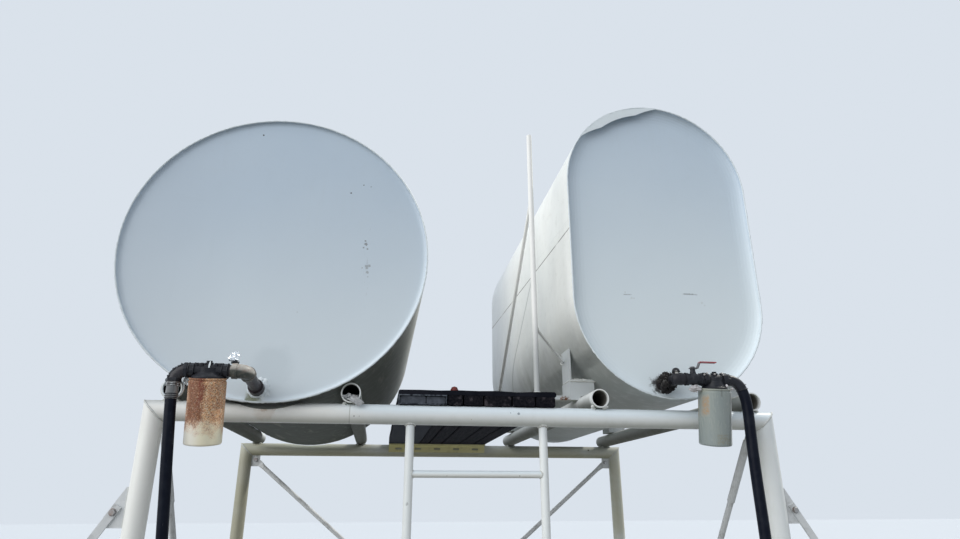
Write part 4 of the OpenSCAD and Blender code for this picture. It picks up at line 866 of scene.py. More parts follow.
def make_lever():
    """Steel riser and a red blade whose paint is worn at its edges."""
    s = Shader("lever_paint", 0.35)
    red = s.mix(s.ease(s.noise(0.01, 4, 0.6), 0.4, 0.7), (0.42, 0.020, 0.030), (0.30, 0.014, 0.020))
    tone = s.ease(s.noise(0.006, 4, 0.6, shift=3), 0.4, 0.65)
    steel = s.mix(tone, (0.14, 0.14, 0.15), (0.045, 0.045, 0.05))
    blade = s.ease(s.x, 0.6955, 0.6995)
    worn = s.ease(s.noise(0.004, 4, 0.7, shift=5), 0.62, 0.7)
    s.colour = s.mix(blade, steel, s.mix(s.times(worn, 0.5), red, (0.20, 0.15, 0.14)))
    s.raise_by(s.times(worn, -0.0001))
    return s.done(soft_edge=0.0008)


# Paint colours, linear: a base, its second tone, and its dirt
WHITE, WHITE_2, GRIME = (0.88, 0.90, 0.88), (0.84, 0.87, 0.86), (0.30, 0.31, 0.26)
# HEAD and HEAD_2 are white paint with painted blue skylight shade in them; HEAD_LOW is a painted lighter,
# less blue tone for the heads' lower parts.
HEAD, HEAD_2, HEAD_LOW = (0.530, 0.645, 0.77), (0.56, 0.67, 0.785), (0.72, 0.81, 0.875)
HEAD_GRIME = (0.40, 0.44, 0.44)
FRAME, FRAME_2, FRAME_GRIME = (0.86, 0.89, 0.89), (0.81, 0.85, 0.86), (0.42, 0.43, 0.34)

MATERIALS = {
    "round_shell": paint("round_shell_paint", WHITE, WHITE_2, GRIME, under=0.75, dents=0.0022,
                         shine=0.1, roughness=0.6, extra=round_shell_extra),
    "obround_shell": paint("obround_shell_paint", (0.94, 0.96, 0.94), (0.90, 0.93, 0.92), GRIME,
                           runs=0.05, under=0.6, dents=0.0030, top_shade_share=0.85,
                           shine=0.2, extra=obround_shell_extra),
    "round_head": paint("round_head_paint", HEAD, HEAD_2, HEAD_GRIME, mottle=0.04, runs=0.05,
                        under=0.3, speckle=0.1, dents=0.0018, dent_size=0.3, marks=ROUND_CHIPS,
                        extra=round_head_extra),
    "obround_head": paint("obround_head_paint", HEAD, HEAD_2, HEAD_GRIME, mottle=0.04, runs=0.05,
                          under=0.3, speckle=0.1, dents=0.0016, dent_size=0.3, marks=OB_CHIPS,
                          extra=obround_head_extra),
    "rim": paint("rim_paint", (0.80, 0.88, 0.93), (0.76, 0.84, 0.89), (0.50, 0.52, 0.50), mottle=0.06,
                 runs=0.08, under=0.2, over=0.05, top_shade_share=0.6, dents=0.0010, dent_size=0.05),
    "frame": paint("frame_paint", FRAME, FRAME_2, FRAME_GRIME, roughness=0.34, mottle=0.08, runs=0.12,
                   under=0.12, speckle=0.8, dents=0.0002, dent_size=0.06, rust_spots=BEAM_RUST,
                   marks=BEAM_SPECKS + LADDER_SPECKS, extra=frame_extra),
    "back_frame": paint("back_frame_paint", FRAME_2, (0.62, 0.65, 0.62), FRAME_GRIME, mottle=0.2,
                        runs=0.3, under=0.6, dents=0.0002, dent_size=0.06, marks=BACK_SPECKS,
                        extra=back_frame_extra),
    "rails": paint("rail_paint", FRAME, FRAME_2, FRAME_GRIME, mottle=0.15, runs=0.2, under=0.6,
                   shine=0.1, roughness=0.6, dents=0.0002, dent_size=0.06, extra=rail_extra),
    "handrail": paint("handrail_paint", (0.97, 0.98, 0.97), (0.93, 0.95, 0.94), FRAME_GRIME,
                      mottle=0.05, runs=0.08, under=0.0, top_shade_share=0.7, dents=0.0002, dent_size=0.05,
                      extra=handrail_extra),
    "brackets": paint("bracket_paint", (0.62, 0.66, 0.68), (0.56, 0.60, 0.62), FRAME_GRIME, mottle=0.2,
                      runs=0.3, under=0.7, dents=0.0004, dent_size=0.04, rust_spots=BRACKET_RUST),
    "weld": paint("weld_paint", (0.74, 0.77, 0.76), (0.66, 0.69, 0.68), (0.34, 0.30, 0.22),
                  roughness=0.5, mottle=0.25, rust=0.25, dents=0.0003, dent_size=0.01),
    "fittings": paint("top_fitting_paint", WHITE, WHITE_2, GRIME, mottle=0.2, runs=0.3, dents=0.0003,
                      dent_size=0.03, rust=0.2),
    "angle": paint("deck_angle_paint", (0.86, 0.82, 0.45), (0.90, 0.86, 0.52), (0.28, 0.26, 0.14),
                   roughness=0.6, mottle=0.3, runs=0.3, rust=0.25, dents=0.0003, dent_size=0.03),
    "steel": metal("galvanized_steel", (0.66, 0.69, 0.71), (0.76, 0.79, 0.81), roughness=0.5,
                   metallic=0.0, grain=0.012, share=0.35),
    "bolt": metal("bolt_steel", (0.30, 0.30, 0.30), (0.40, 0.40, 0.39), roughness=0.4, metallic=0.7,
                  stain=RUST, share=0.6, grain=0.006),
    "channel": dark("deck_channel_paint", (0.012, 0.014, 0.019), (0.10, 0.11, 0.12), roughness=0.8,
                    dusty=0.4, grain=0.03, bump=0.0006, shine=0.08, extra=channel_extra),
    "end_boards": dark("channel_board_finish", (0.060, 0.068, 0.084), (0.17, 0.18, 0.20), roughness=0.8,
                       dusty=0.5, grain=0.02, shine=0.08),
    "iron": dark("black_iron", (0.008, 0.009, 0.013), (0.14, 0.14, 0.145), roughness=0.36, dusty=0.22),
    "left_pipe": dark("left_pipe_finish", (0.020, 0.015, 0.017), (0.12, 0.10, 0.09), roughness=0.38,
                      dusty=0.25, extra=left_pipe_extra),
    "right_pipe": dark("right_pipe_finish", (0.010, 0.010, 0.013), (0.12, 0.12, 0.12), dusty=0.2,
                       extra=right_pipe_extra),
    "swivel": dark("swivel_finish", (0.022, 0.021, 0.025), (0.20, 0.18, 0.17), roughness=0.36,
                   dusty=0.5, extra=swivel_extra),
    "valve": dark("valve_body_finish", (0.009, 0.010, 0.014), (0.15, 0.15, 0.16), roughness=0.4,
                  dusty=0.2),
    "crust": dark("grease_crust", (0.012, 0.011, 0.011), (0.26, 0.25, 0.235), roughness=0.75,
                  dusty=0.5, grain=0.004, bump=0.0012),
    "left_canister": make_left_canister(),
    "right_canister": make_right_canister(),
    "rubber": make_rubber(),
    "boards": make_boards(),
    "knob": dark("knob_finish", (0.12, 0.022, 0.018), (0.40, 0.30, 0.28), dusty=0.4),
    "strap": metal("strap_metal", (0.36, 0.37, 0.38), (0.52, 0.53, 0.54), roughness=0.5, metallic=0.3,
                   grain=0.004, share=0.5),
    "mat": make_mat(),
    "lever": make_lever(),
    "foil": metal("crumpled_foil", (0.86, 0.88, 0.90), (0.70, 0.73, 0.76), roughness=0.16,
                  metallic=1.0, stain=(0.30, 0.33, 0.36), share=0.35, grain=0.006),
    "lump": paint("crumpled_lump", (0.74, 0.73, 0.75), (0.62, 0.61, 0.64), (0.30, 0.28, 0.27),
                  mottle=0.4, dents=0.0006, dent_size=0.008),
    "nozzle": metal("nozzle_alloy", (0.55, 0.56, 0.57), (0.64, 0.65, 0.66), roughness=0.36,
                    metallic=0.8, grain=0.004, share=0.35),
}


class Shape:
    """Collects the faces of one piece, in the row frame."""

    def __init__(self):
        self.mesh = bmesh.new()

    def skin(self, rings, loop=False):
        """Joins rings of points, which all have the same count, into a skin with closed ends."""
        rows = [[self.mesh.verts.new(p) for p in ring] for ring in rings]
        count = len(rows[0])
        pairs = list(zip(rows, rows[1:])) + ([(rows[-1], rows[0])] if loop else [])
        for a, b in pairs:
            for i in range(count):
                j = (i + 1) % count
                self.mesh.faces.new((a[i], a[j], b[j], b[i]))
        if not loop:
            self.mesh.faces.new(rows[0][::-1])
            self.mesh.faces.new(rows[-1])

    def tube(self, points, radius, sides=8, loop=False):
        """A round skin along points. radius is a number or one number a point."""
        points = [Vector(p) for p in points]
        radii = radius if hasattr(radius, "__len__") else [radius] * len(points)
        rings = []
        side = None
        for i, point in enumerate(points):
            before = points[i - 1] if i or loop else point
            after = points[(i + 1) % len(points)] if i + 1 < len(points) or loop else point
            along = (after - before).normalized()
            if side is None:
                side = along.cross(Z)
                if side.length < 0.1:
                    side = along.cross(X)
            side = (side - along * side.dot(along)).normalized()
            other = along.cross(side)
            turn = [2 * math.pi * k / sides for k in range(sides)]
            rings.append([point + radii[i] * (math.cos(t) * side + math.sin(t) * other) for t in turn])
        self.skin(rings, loop)

    def lathe(self, profile, place, sides=32, loop=False):
        """Turns (radius, height) pairs about the Z axis of place."""
        rings = []
        for radius, height in profile:
            ring = []
            for k in range(sides):
                t = 2 * math.pi * k / sides
                ring.append(place @ Vector((radius * math.cos(t), radius * math.sin(t), height)))
            rings.append(ring)
        self.skin(rings, loop)

    def blob(self, point, size, seed, rough=0.35, grain=1.6, level=3):
        """A lump with an uneven surface. size is its half size along X, Y and Z."""
        point = Vector(point)
        made = bmesh.ops.create_icosphere(self.mesh, subdivisions=level, radius=1)
        for vert in made["verts"]:
            shift = noise.fractal(vert.co * grain + Vector((seed, seed, seed)), 0.8, 2.1, 4)
            co = vert.co * (1 + rough * shift)
            vert.co = point + Vector((co.x * size[0], co.y * size[1], co.z * size[2]))

    def block(self, low, high, edge=0.001, place=Matrix.Identity(4)):
        """A box between two corners with rounded edges."""
        low, high = Vector(low), Vector(high)
        made = bmesh.ops.create_cube(self.mesh, size=1)
        for vert in made["verts"]:
            vert.co = place @ Vector(
                [low[i] + (vert.co[i] + 0.5) * (high[i] - low[i]) for i in range(3)])
        if edge:
            edges = list({e for v in made["verts"] for e in v.link_edges})
            bmesh.ops.bevel(self.mesh, geom=edges, offset=edge, segments=2, profile=0.5,
                            affect="EDGES")

    def finish(self, name, material, sharp=35):
        """Makes the piece. It rides on root."""
        bmesh.ops.recalc_face_normals(self.mesh, faces=self.mesh.faces)
        data = bpy.data.meshes.new(name)
        self.mesh.to_mesh(data)
        self.mesh.free()
        data.shade_smooth()
        data.set_sharp_from_angle(angle=math.radians(sharp))
        data.materials.append(material)
        piece = bpy.data.objects.new(name, data)
        scene.collection.objects.link(piece)
        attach(piece, "root")
        return piece


def frame_at(point, along):
    """A matrix whose Z axis lies along a direction, at a point."""
    return Matrix.Translation(point) @ Vector(along).to_track_quat("Z", "Y").to_matrix().to_4x4()


def arc(centre, radius, start, end, count):
    """Points on a circle in an upright plane along X, angles in degrees."""
    steps = [math.radians(start + (end - start) * i / (count - 1)) for i in range(count)]
    return [centre + radius * (math.cos(t) * X + math.sin(t) * Z) for t in steps]


def bead(shape, points, radius, rng, loop=False):
    """A weld bead: a tube along points whose thickness ripples."""
    radii = [radius * rng.uniform(0.72, 1.22) for _ in points]
    shaken = [Vector(p) + Vector([rng.uniform(-0.15, 0.15) * radius for _ in range(3)]) for p in points]
    shape.tube(shaken, radii, 7, loop)


def obround_line(y, shrink, count):
    """Points round the obround tank's rim, inside it by shrink."""
    r = OB_R - shrink
    high_c = Vector((OB_C.x, y, OB_C.z + OB_HALF))
    low_c = Vector((OB_C.x, y, OB_C.z - OB_HALF))
    flat = max(2, int(count * 2 * OB_HALF / (2 * math.pi * r)))
    points = arc(high_c, r, 0, 180, count // 2)
    for i in range(1, flat):
        points.append(Vector((OB_C.x - r, y, OB_C.z + OB_HALF * (1 - 2 * i / flat))))
    points += arc(low_c, r, 180, 360, count // 2)
    for i in range(1, flat):
        points.append(Vector((OB_C.x + r, y, OB_C.z - OB_HALF * (1 - 2 * i / flat))))
    return points


def make_welds():
    """Beads round the tanks' rims, at the stand's mitres and saddles, and on the ladder."""
    rng = random.Random(11)
    shape = Shape()
    rim = 0.0030
    for y in (ROUND_FRONT, ROUND_BACK):
        ring = arc(Vector((ROUND_C.x, y, ROUND_C.z)), ROUND_R - PLATE, 0, 360, 421)[:-1]
        bead(shape, ring, rim, rng, loop=True)
    for y in (OB_FRONT, OB_BACK):
        bead(shape, obround_line(y, PLATE, 380), rim, rng, loop=True)
    shape.finish("tank_rim_welds", MATERIALS["rim"])

    shape = Shape()
    for y in (BEAM_Y, BACK_Y):
        for side in (-1, 1):
            corner = Vector((side * LEG_X, y, BEAM_Z))
            slope = Vector((side, 0, 1)) * PIPE_R
            ring = []
            for i in range(4, 57):
                t = 2 * math.pi * i / 60
                ring.append(corner + slope * math.cos(t) + Y * PIPE_R * math.sin(t))
            bead(shape, ring, 0.0028, rng)
        for x in (*RAILS_ROUND, *RAILS_OBROUND):
            for side in (-1, 1):
                foot = [Vector((x + side * (0.008 + 0.003 * abs(i)), y + 0.0042 * i,
                                BEAM_Z + PIPE_R + 0.0015 - 0.00032 * i * i)) for i in range(-4, 5)]
                bead(shape, foot, 0.0055, rng)
    shape.finish("stand_welds", MATERIALS["weld"])

    shape = Shape()
    for x in STILES_X:
        ring = []
        for i in range(36):
            t = 2 * math.pi * i / 36
            across = STILE_R * math.sin(t)
            drop = math.sqrt(PIPE_R ** 2 - across ** 2)
            ring.append(Vector((x + STILE_R * math.cos(t), BEAM_Y + across, BEAM_Z - drop)))
        bead(shape, ring, 0.0044, rng, loop=True)
    gap = (RUNG_TOP - RUNG_LOW) / (RUNG_COUNT - 1)
    for i in range(RUNG_COUNT):
        z = RUNG_LOW + gap * i
        for x, side in zip(STILES_X, (1, -1)):
            ring = []
            for k in range(28):
                t = 2 * math.pi * k / 28
                across = RUNG_R * math.sin(t)
                out = math.sqrt(STILE_R ** 2 - across ** 2)
                ring.append(Vector((x + side * out, BEAM_Y + across, z + RUNG_R * math.cos(t))))
            bead(shape, ring, 0.0024, rng, loop=True)
    shape.finish("ladder_welds", MATERIALS["weld"])


def ring_of(centre, axis, radius, count, start=0.0, end=360.0):
    """Points on a circle about an axis, angles in degrees."""
    turn = frame_at(centre, axis)
    steps = [math.radians(start + (end - start) * i / count) for i in range(count + (end - start < 360))]
    return [turn @ Vector((radius * math.cos(t), radius * math.sin(t), 0)) for t in steps]


def weld_rings(shape, places, rng):
    """Beads round pipe ends. places holds (centre, axis, pipe radius, bead radius)."""
    for centre, axis, radius, thick in places:
        count = max(14, int(2 * math.pi * radius / 0.005))
        bead(shape, ring_of(centre, axis, radius + 0.2 * thick, count), thick, rng, loop=True)


def weld_lines(shape, lines, thick, rng):
    """Beads along straight edges. lines holds (start, end)."""
    for start, end in lines:
        start, end = Vector(start), Vector(end)
        count = max(4, int((end - start).length / 0.0045))
        bead(shape, [start.lerp(end, i / count) for i in range(count + 1)], thick, rng)


def nut(shape, place, across, height):
    """A nut or bolt head with chamfered corners, standing on place."""
    r = across / math.sqrt(3)
    profile = [(0.0004, 0), (0.90 * r, 0), (r, 0.10 * height), (r, 0.86 * height), (0.90 * r, height)]
    shape.lathe(profile + [(0.0004, height)], place, 6)


def bolt(shape, point, axis, grip):
    """A bolt with its head on the side of axis, two washers, a nut and the end of its thread."""
    axis = Vector(axis)
    for side, tall in ((1, 0.0055), (-1, 0.0080)):
        place = frame_at(Vector(point) + side * axis * grip / 2, side * axis)
        shape.lathe([(0.001, 0), (0.0105, 0), (0.0105, 0.0014), (0.001, 0.0014)], place, 24)
        nut(shape, place @ Matrix.Translation((0, 0, 0.0014)), 0.016, tall)
    end = frame_at(Vector(point) - axis * (grip / 2 + 0.0092), -axis)
    threads = [(0.0048 - 0.0004 * (i % 2), 0.0006 * i) for i in range(8)]
    shape.lathe([(0.0004, 0)] + threads + [(0.0004, 0.0046)], end, 16)


def make_structure_welds():
    """Beads at the lugs and feet, and on the brackets, the handrail and the top fittings."""
    rng = random.Random(23)
    shape = Shape()
    gap = 0.0006
    lines = []
    for side in (-1, 1):
        out = side * (LEG_X + PIPE_R + gap)
        for off in (-0.0038, 0.0038):
            lines.append([(out, BEAM_Y + off, z) for z in OUTRIGGER_LUG_ENDS])
            for z in BACK_LUGS_Z:
                x = side * (LEG_X - PIPE_R - gap)
                lines.append(((x, BACK_Y + off, z - LUG_HALF), (x, BACK_Y + off, z + LUG_HALF)))
            for pipe_y, way, z in SIDE_LUGS:
                x, y = side * LEG_X + off, pipe_y + way * (PIPE_R + gap)
                lines.append(((x, y, z - LUG_HALF), (x, y, z + 0.020)))
    weld_lines(shape, lines, 0.0028, rng)
    feet = []
    for y in (BEAM_Y, BACK_Y):
        for side in (-1, 1):
            feet.append(((side * LEG_X, y, FOOT_TOP), Z, PIPE_R, 0.0042))
    weld_rings(shape, feet, rng)
    for side in (-1, 1):
        ends = [side * OUTRIGGER_FOOT_X + off for off in (-0.013, 0.013)]
        weld_lines(shape, [[(x, y, FOOT_TOP) for x in ends] for y in (-0.6545, -0.6475)], 0.003, rng)
    shape.finish("brace_and_foot_welds", MATERIALS["weld"])

    shape = Shape()
    edges = []
    for x0, x1 in BRACKETS_X:
        for y in (*BRACKETS_Y[0], *BRACKETS_Y[1]):
            edges.append(((x0, y, BRACKET_Z), (x1, y, BRACKET_Z)))
    for x in (BRACKETS_X[0][0] + 0.001, BRACKETS_X[1][1] - 0.001):
        for y, _ in BRACKETS_Y:
            edges.append([(x, y + along, BRACKET_Z + 0.0036) for along in (0.003, 0.093)])
    weld_lines(shape, edges, 0.0030, rng)
    for i in range(9):
        t = i / 8
        point = (0.352 + 0.078 * t, -0.513 + 0.006 * rng.random(), 2.0185 - 0.002 * t)
        tall = 0.0035 + 0.004 * rng.random() * math.sin(math.pi * t)
        shape.blob(point, (0.0075, 0.004, tall), 3 + i, 0.5, 1.8, 2)
    for x, z in ((0.3655, 1.9035), (0.405, 1.9010), (0.412, 1.9035), (-0.392, 1.9030), (-0.930, 1.9030)):
        shape.blob((x, -0.668, z), (0.0065, 0.004, 0.0045), 7 + x, 0.5, 1.6, 2)
    shape.finish("bracket_welds", MATERIALS["weld"])

    shape = Shape()
    weld_rings(shape, [
        ((POST_X, BEAM_Y, DECK_TOP + 0.001), Z, POST_R, 0.0028),
        ((POST_X, BEAM_Y + 0.0105, 2.632), (0, 1, -0.85), 0.0062, 0.0022),
        ((POST_X, 0.157, DECK_TOP + 0.001), Z, 0.0072, 0.0024),
        ((POST_X + 0.008, BEAM_Y + 0.010, 2.1635), (0.56, 0.78, -0.29), 0.0055, 0.0020),
        ((0.3385, -0.436, 2.0905), (0.56, 0.78, -0.29), 0.0058, 0.0022),
    ], rng)
    shape.finish("handrail_welds", MATERIALS["weld"])

    shape = Shape()
    tops = []
    for x, top, first, last in TOP_OPENINGS:
        tops += [((x, first, top + 0.001), Z, 0.03015, 0.0042), ((x, last, top + 0.001), Z, 0.021, 0.0038)]
    weld_rings(shape, tops, rng)
    shape.finish("top_fitting_welds", MATERIALS["weld"])


def make_bolts():
    """One bolt at each end of a brace."""
    shape = Shape()
    grip = 2 * LUG_PLATE
    for side in (-1, 1):
        for z in BACK_LUGS_Z:
            behind = (side < 0) != (z > 1)
            y = BACK_Y + (LUG_PLATE / 2 if behind else -LUG_PLATE / 2)
            bolt(shape, (side * BACK_LUG_X, y, z), (0, -1, 0), grip)
        for pipe_y, way, z in SIDE_LUGS:
            bolt(shape, (side * (LEG_X - LUG_PLATE / 2), pipe_y + way * 0.052, z), (side, 0, 0), grip)
        x, y, z = OUTRIGGER_LUG
        bolt(shape, (side * x, y, z), (0, -1, 0), grip)
    shape.finish("brace_bolts", MATERIALS["bolt"])


def hoop(shape, centre, axis, radius, thick, count=32):
    """A round ring about an axis."""
    shape.tube(ring_of(centre, axis, radius, count), thick, 6, loop=True)


def head_trim(shape, plug, collars, collar_r, lid, rib_low, rib_high):
    """Collars on a filter head's ends, the edge of its lid and the ribs over it, in its tilted frame."""
    for x in collars:
        hoop(shape, plug @ Vector((x, 0, 0)), X, collar_r, 0.0016)
    shape.lathe(lid, plug, 64, loop=True)
    for k in range(10):
        turn = plug @ Matrix.Rotation(math.radians(36 * k), 4, "Z")
        shape.block(rib_low, rib_high, 0.0008, turn)


def make_left_fittings():
    """Weld and rings of the left outlet, its foil, drip, wire loop and tag."""
    rng = random.Random(31)
    shape = Shape()
    weld_rings(shape, [((COUPLING_X, ROUND_HEAD_Y - 0.001, COUPLING_Z), -Y, 0.022, 0.0048)], rng)
    for i in range(7):
        angle = math.radians(-50 + 25 * i)
        reach = 0.027 + 0.006 * rng.random()
        spot = (COUPLING_X + reach * math.cos(angle), ROUND_HEAD_Y, COUPLING_Z + reach * math.sin(angle))
        shape.blob(spot, (0.009, 0.0025, 0.009), i, 0.5, 1.5, 2)
    shape.finish("left_coupling_weld", MATERIALS["rim"])

    shape = Shape()
    shape.blob((-0.7085, LEFT_Y, 1.9810), (0.0085, 0.0085, 0.0095), 4, 0.75, 1.7, 3)
    shape.blob((-0.7155, LEFT_Y, 1.9885), (0.0095, 0.0070, 0.0085), 9, 0.85, 2.0, 3)
    shape.blob((-0.7065, LEFT_Y - 0.002, 1.9960), (0.0065, 0.0060, 0.0080), 14, 0.85, 2.0, 3)
    foil = shape.finish("left_valve_foil", MATERIALS["foil"], sharp=8)
    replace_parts(foil, "left_valve")

    shape = Shape()
    nut(shape, Matrix.Translation((-0.7075, LEFT_Y, 1.9705)), 0.019, 0.0075)
    plug = Matrix.Translation((LEFT_FILTER_X, LEFT_Y, LEFT_Z)) @ Matrix.Rotation(HEAD_TILT, 4, "X")
    for x in (-0.030, -0.017, 0.020, 0.031):
        shape.block((x - 0.0045, -0.0135, 0.0050), (x + 0.0045, 0.0040, 0.0205), 0.0012, plug)
    lid = [(0.036, -0.0195), (0.0415, -0.0195), (0.0425, -0.0180), (0.0415, -0.0160), (0.036, -0.0160)]
    head_trim(shape, plug, (-0.050, -0.036, 0.036, 0.050), 0.0196, lid,
              (0.026, -0.0022, -0.0150), (0.0385, 0.0022, -0.0112))
    for z in (1.8750, 1.8800, 1.8850):
        hoop(shape, (LEFT_HOSE_X, LEFT_Y, z), Z, 0.0156, 0.0013)
    bend_x, bend_z, bend_r = -0.8245, 1.9165, 0.0455
    nut(shape, frame_at((bend_x, LEFT_Y, LEFT_Z), -X), 0.037, 0.010)
    nut(shape, Matrix.Translation((LEFT_HOSE_X, LEFT_Y, 1.9175)), 0.0375, 0.009)
    for i in range(9):
        angle = math.radians(100 + 9 * i)
        spot = (bend_x + bend_r * math.cos(angle), LEFT_Y - 0.009 + 0.006 * rng.random(),
                bend_z + bend_r * math.sin(angle))
        shape.blob(spot, (0.0065, 0.0075, 0.0062), 40 + i, 0.5, 1.8, 2)
    shape.finish("left_filter_hardware", MATERIALS["iron"])

    shape = Shape()
    for z in (1.9075, 1.9120):
        hoop(shape, (LEFT_HOSE_X, LEFT_Y, z), Z, 0.0160, 0.0010)
    wire = ring_of((-0.8600, LEFT_Y + 0.012, 1.9030), Y, 0.0268, 48, -62, 242)
    shape.tube([p + Vector((0, 0.10 * (p.z - 1.90), 0)) for p in wire], 0.0025, 8)
    shape.blob((-0.8265, LEFT_Y + 0.010, 1.9270), (0.0085, 0.0035, 0.0115), 5, 0.45, 1.2, 3)
    shape.tube([(-0.7690, LEFT_Y - 0.0116, 1.9730), (-0.7688, LEFT_Y - 0.0158, 1.9640),
                (-0.7690, LEFT_Y - 0.0178, 1.9520)], [0.0012, 0.0024, 0.0016], 8)
    shape.blob((-0.832, LEFT_Y - 0.012, 1.9220), (0.0030, 0.0025, 0.0060), 8, 0.4, 1.4, 2)
    shape.finish("left_filter_trim", MATERIALS["rim"])


def make_right_fittings():
    """Crust, weld, loose lumps, collars and screws of the right outlet and its filter."""
    rng = random.Random(47)
    shape = Shape()
    crust_x, crust_y, crust_z = RIGHT_PIPE_X - 0.004, OB_FRONT - 0.032, RIGHT_Z - 0.003
    for i in range(13):
        angle = 2 * math.pi * i / 13 + rng.uniform(-0.2, 0.2)
        reach = 0.016 + 0.004 * rng.random() + (0.006 if 1.6 < angle < 4.2 else 0.0)
        centre = (crust_x + reach * math.cos(angle), crust_y + rng.uniform(-0.020, 0.026),
                  crust_z + reach * math.sin(angle))
        size = rng.uniform(0.010, 0.016)
        shape.blob(centre, (size, 0.9 * size, size), i, 0.55, 2.2, 3)
    for i in range(46):
        angle = math.radians(rng.uniform(60, 250))
        start = rng.uniform(0.018, 0.024)
        end = start + rng.uniform(0.006, 0.014)
        y = crust_y + rng.uniform(-0.022, 0.022)
        bend = rng.uniform(-0.25, 0.25)
        points = [(crust_x + r * math.cos(angle + t), y + 0.1 * (r - start),
                   crust_z + r * math.sin(angle + t))
                  for r, t in ((start - 0.004, 0), ((start + end) / 2, bend / 2), (end, bend))]
        shape.tube(points, [0.0020, 0.0012, 0.0003], 5)
    shape.finish("right_outlet_crust", MATERIALS["crust"], sharp=60)

    shape = Shape()
    weld_rings(shape, [((RIGHT_PIPE_X, OB_HEAD_Y - 0.001, RIGHT_Z), -Y, 0.022, 0.0045)], rng)
    shape.finish("right_coupling_weld", MATERIALS["crust"])

    shape = Shape()
    shape.tube(ring_of((RIGHT_PIPE_X, RIGHT_Y + 0.006, RIGHT_Z), Y, 0.0203, 20, 120, 236), 0.0014, 6)
    shape.tube(ring_of((0.7665, RIGHT_Y, RIGHT_Z), X, 0.0222, 20, 20, 150), 0.0013, 6)
    shape.blob((0.672, RIGHT_Y - 0.004, 1.9520), (0.0175, 0.0105, 0.0105), 21, 0.55, 1.7, 3)
    shape.blob((0.772, RIGHT_Y - 0.021, 1.9600), (0.0045, 0.0035, 0.0050), 22, 0.4, 1.5, 2)
    shape.blob((0.791, RIGHT_Y - 0.018, 1.9510), (0.0050, 0.0040, 0.0040), 23, 0.4, 1.5, 2)
    shape.finish("right_filter_trim", MATERIALS["lump"], sharp=15)

    shape = Shape()
    plug = Matrix.Translation((RIGHT_FILTER_X, RIGHT_Y, RIGHT_Z)) @ Matrix.Rotation(HEAD_TILT, 4, "X")
    lid = [(0.032, -0.0262), (0.0375, -0.0262), (0.0388, -0.0245), (0.0375, -0.0225), (0.032, -0.0225)]
    head_trim(shape, plug, (-0.038, -0.026, 0.026, 0.038), 0.0200, lid,
              (0.024, -0.0022, -0.0205), (0.0335, 0.0022, -0.0160))
    nut(shape, frame_at((0.783, RIGHT_Y, RIGHT_Z), X), 0.0355, 0.009)
    for x in (0.6445, 0.6985):
        hoop(shape, (x, RIGHT_Y, RIGHT_Z), X, 0.0192, 0.0015)
    hoop(shape, (0.834, RIGHT_Y, 1.9520), (0.26, 0, -1), 0.0176, 0.0018)
    hoop(shape, (0.831, RIGHT_Y, 1.9640), (0.36, 0, -1), 0.0176, 0.0014)
    for z, r in ((2.0045, 0.0128), (2.0049, 0.0118)):
        hoop(shape, (RIGHT_PIPE_X, RIGHT_Y, z), Z, r, 0.0009, 24)
    shape.finish("right_filter_hardware", MATERIALS["iron"])

    shape = Shape()
    for x, y, z in ((0.7017, -0.7835, 1.9942), (0.7382, -0.7815, 1.9966), (0.7120, -0.7820, 1.9990),
                    (0.7630, -0.7830, 2.0000)):
        shape.lathe([(0.0003, 0), (0.0034, 0), (0.0034, 0.0015), (0.0024, 0.0030), (0.0003, 0.0034)],
                    frame_at((x, y + 0.001, z), (0, -1, 0.5)), 16)
    shape.finish("right_filter_screws", MATERIALS["bolt"])


def strip(shape, points, across, wide, thick, rng):
    """A crumpled flat band along points."""
    across = Vector(across).normalized()
    points = [Vector(p) for p in points]
    rings = []
    for i, point in enumerate(points):
        along = (points[min(i + 1, len(points) - 1)] - points[max(i - 1, 0)]).normalized()
        flat = along.cross(across).normalized()
        lift = flat * rng.uniform(-0.8, 0.8) * thick
        row = [point + across * wide * (k / 6 - 0.5) + lift * math.sin(2.2 * k) for k in range(7)]
        rings.append([p + flat * thick / 2 for p in row] + [p - flat * thick / 2 for p in row[::-1]])
    shape.skin(rings)


def plank(shape, low, high, seed, wave=0.0012, step=0.03, top_wave=0.0):
    """A worn board along Y between two corners, with rounded edges and uneven ends."""
    low, high = Vector(low), Vector(high)
    edge = min(0.0035, 0.2 * (high.x - low.x))
    count = int((high.y - low.y) / step)
    section = []
    for i in range(9):
        section.append((low.x + edge + (high.x - low.x - 2 * edge) * i / 8, high.z))
    section += [(high.x, high.z - edge), (high.x, middle(low, high).z), (high.x, low.z + edge)]
    section += [(high.x - edge, low.z), (middle(low, high).x, low.z), (low.x + edge, low.z)]
    section += [(low.x, low.z + edge), (low.x, middle(low, high).z), (low.x, high.z - edge)]
    rings = []
    for i in range(count + 1):
        y = low.y + (high.y - low.y) * i / count
        ring = []
        for x, z in section:
            shake = noise.noise_vector(Vector((x * 30, y * 9, z * 30 + seed)))
            at_end = shake.y * 0.003 if i in (0, count) else 0.0
            above = top_wave * shake.z if z > high.z - edge else 0.0
            inward = -abs(shake.x) * wave if x > middle(low, high).x else abs(shake.x) * wave
            ring.append(Vector((x + inward, y + (abs(at_end) if i == 0 else -abs(at_end)),
                                z - (abs(shake.z) * wave if z > low.z + edge else 0.0) + above)))
        rings.append(ring)
    shape.skin(rings)


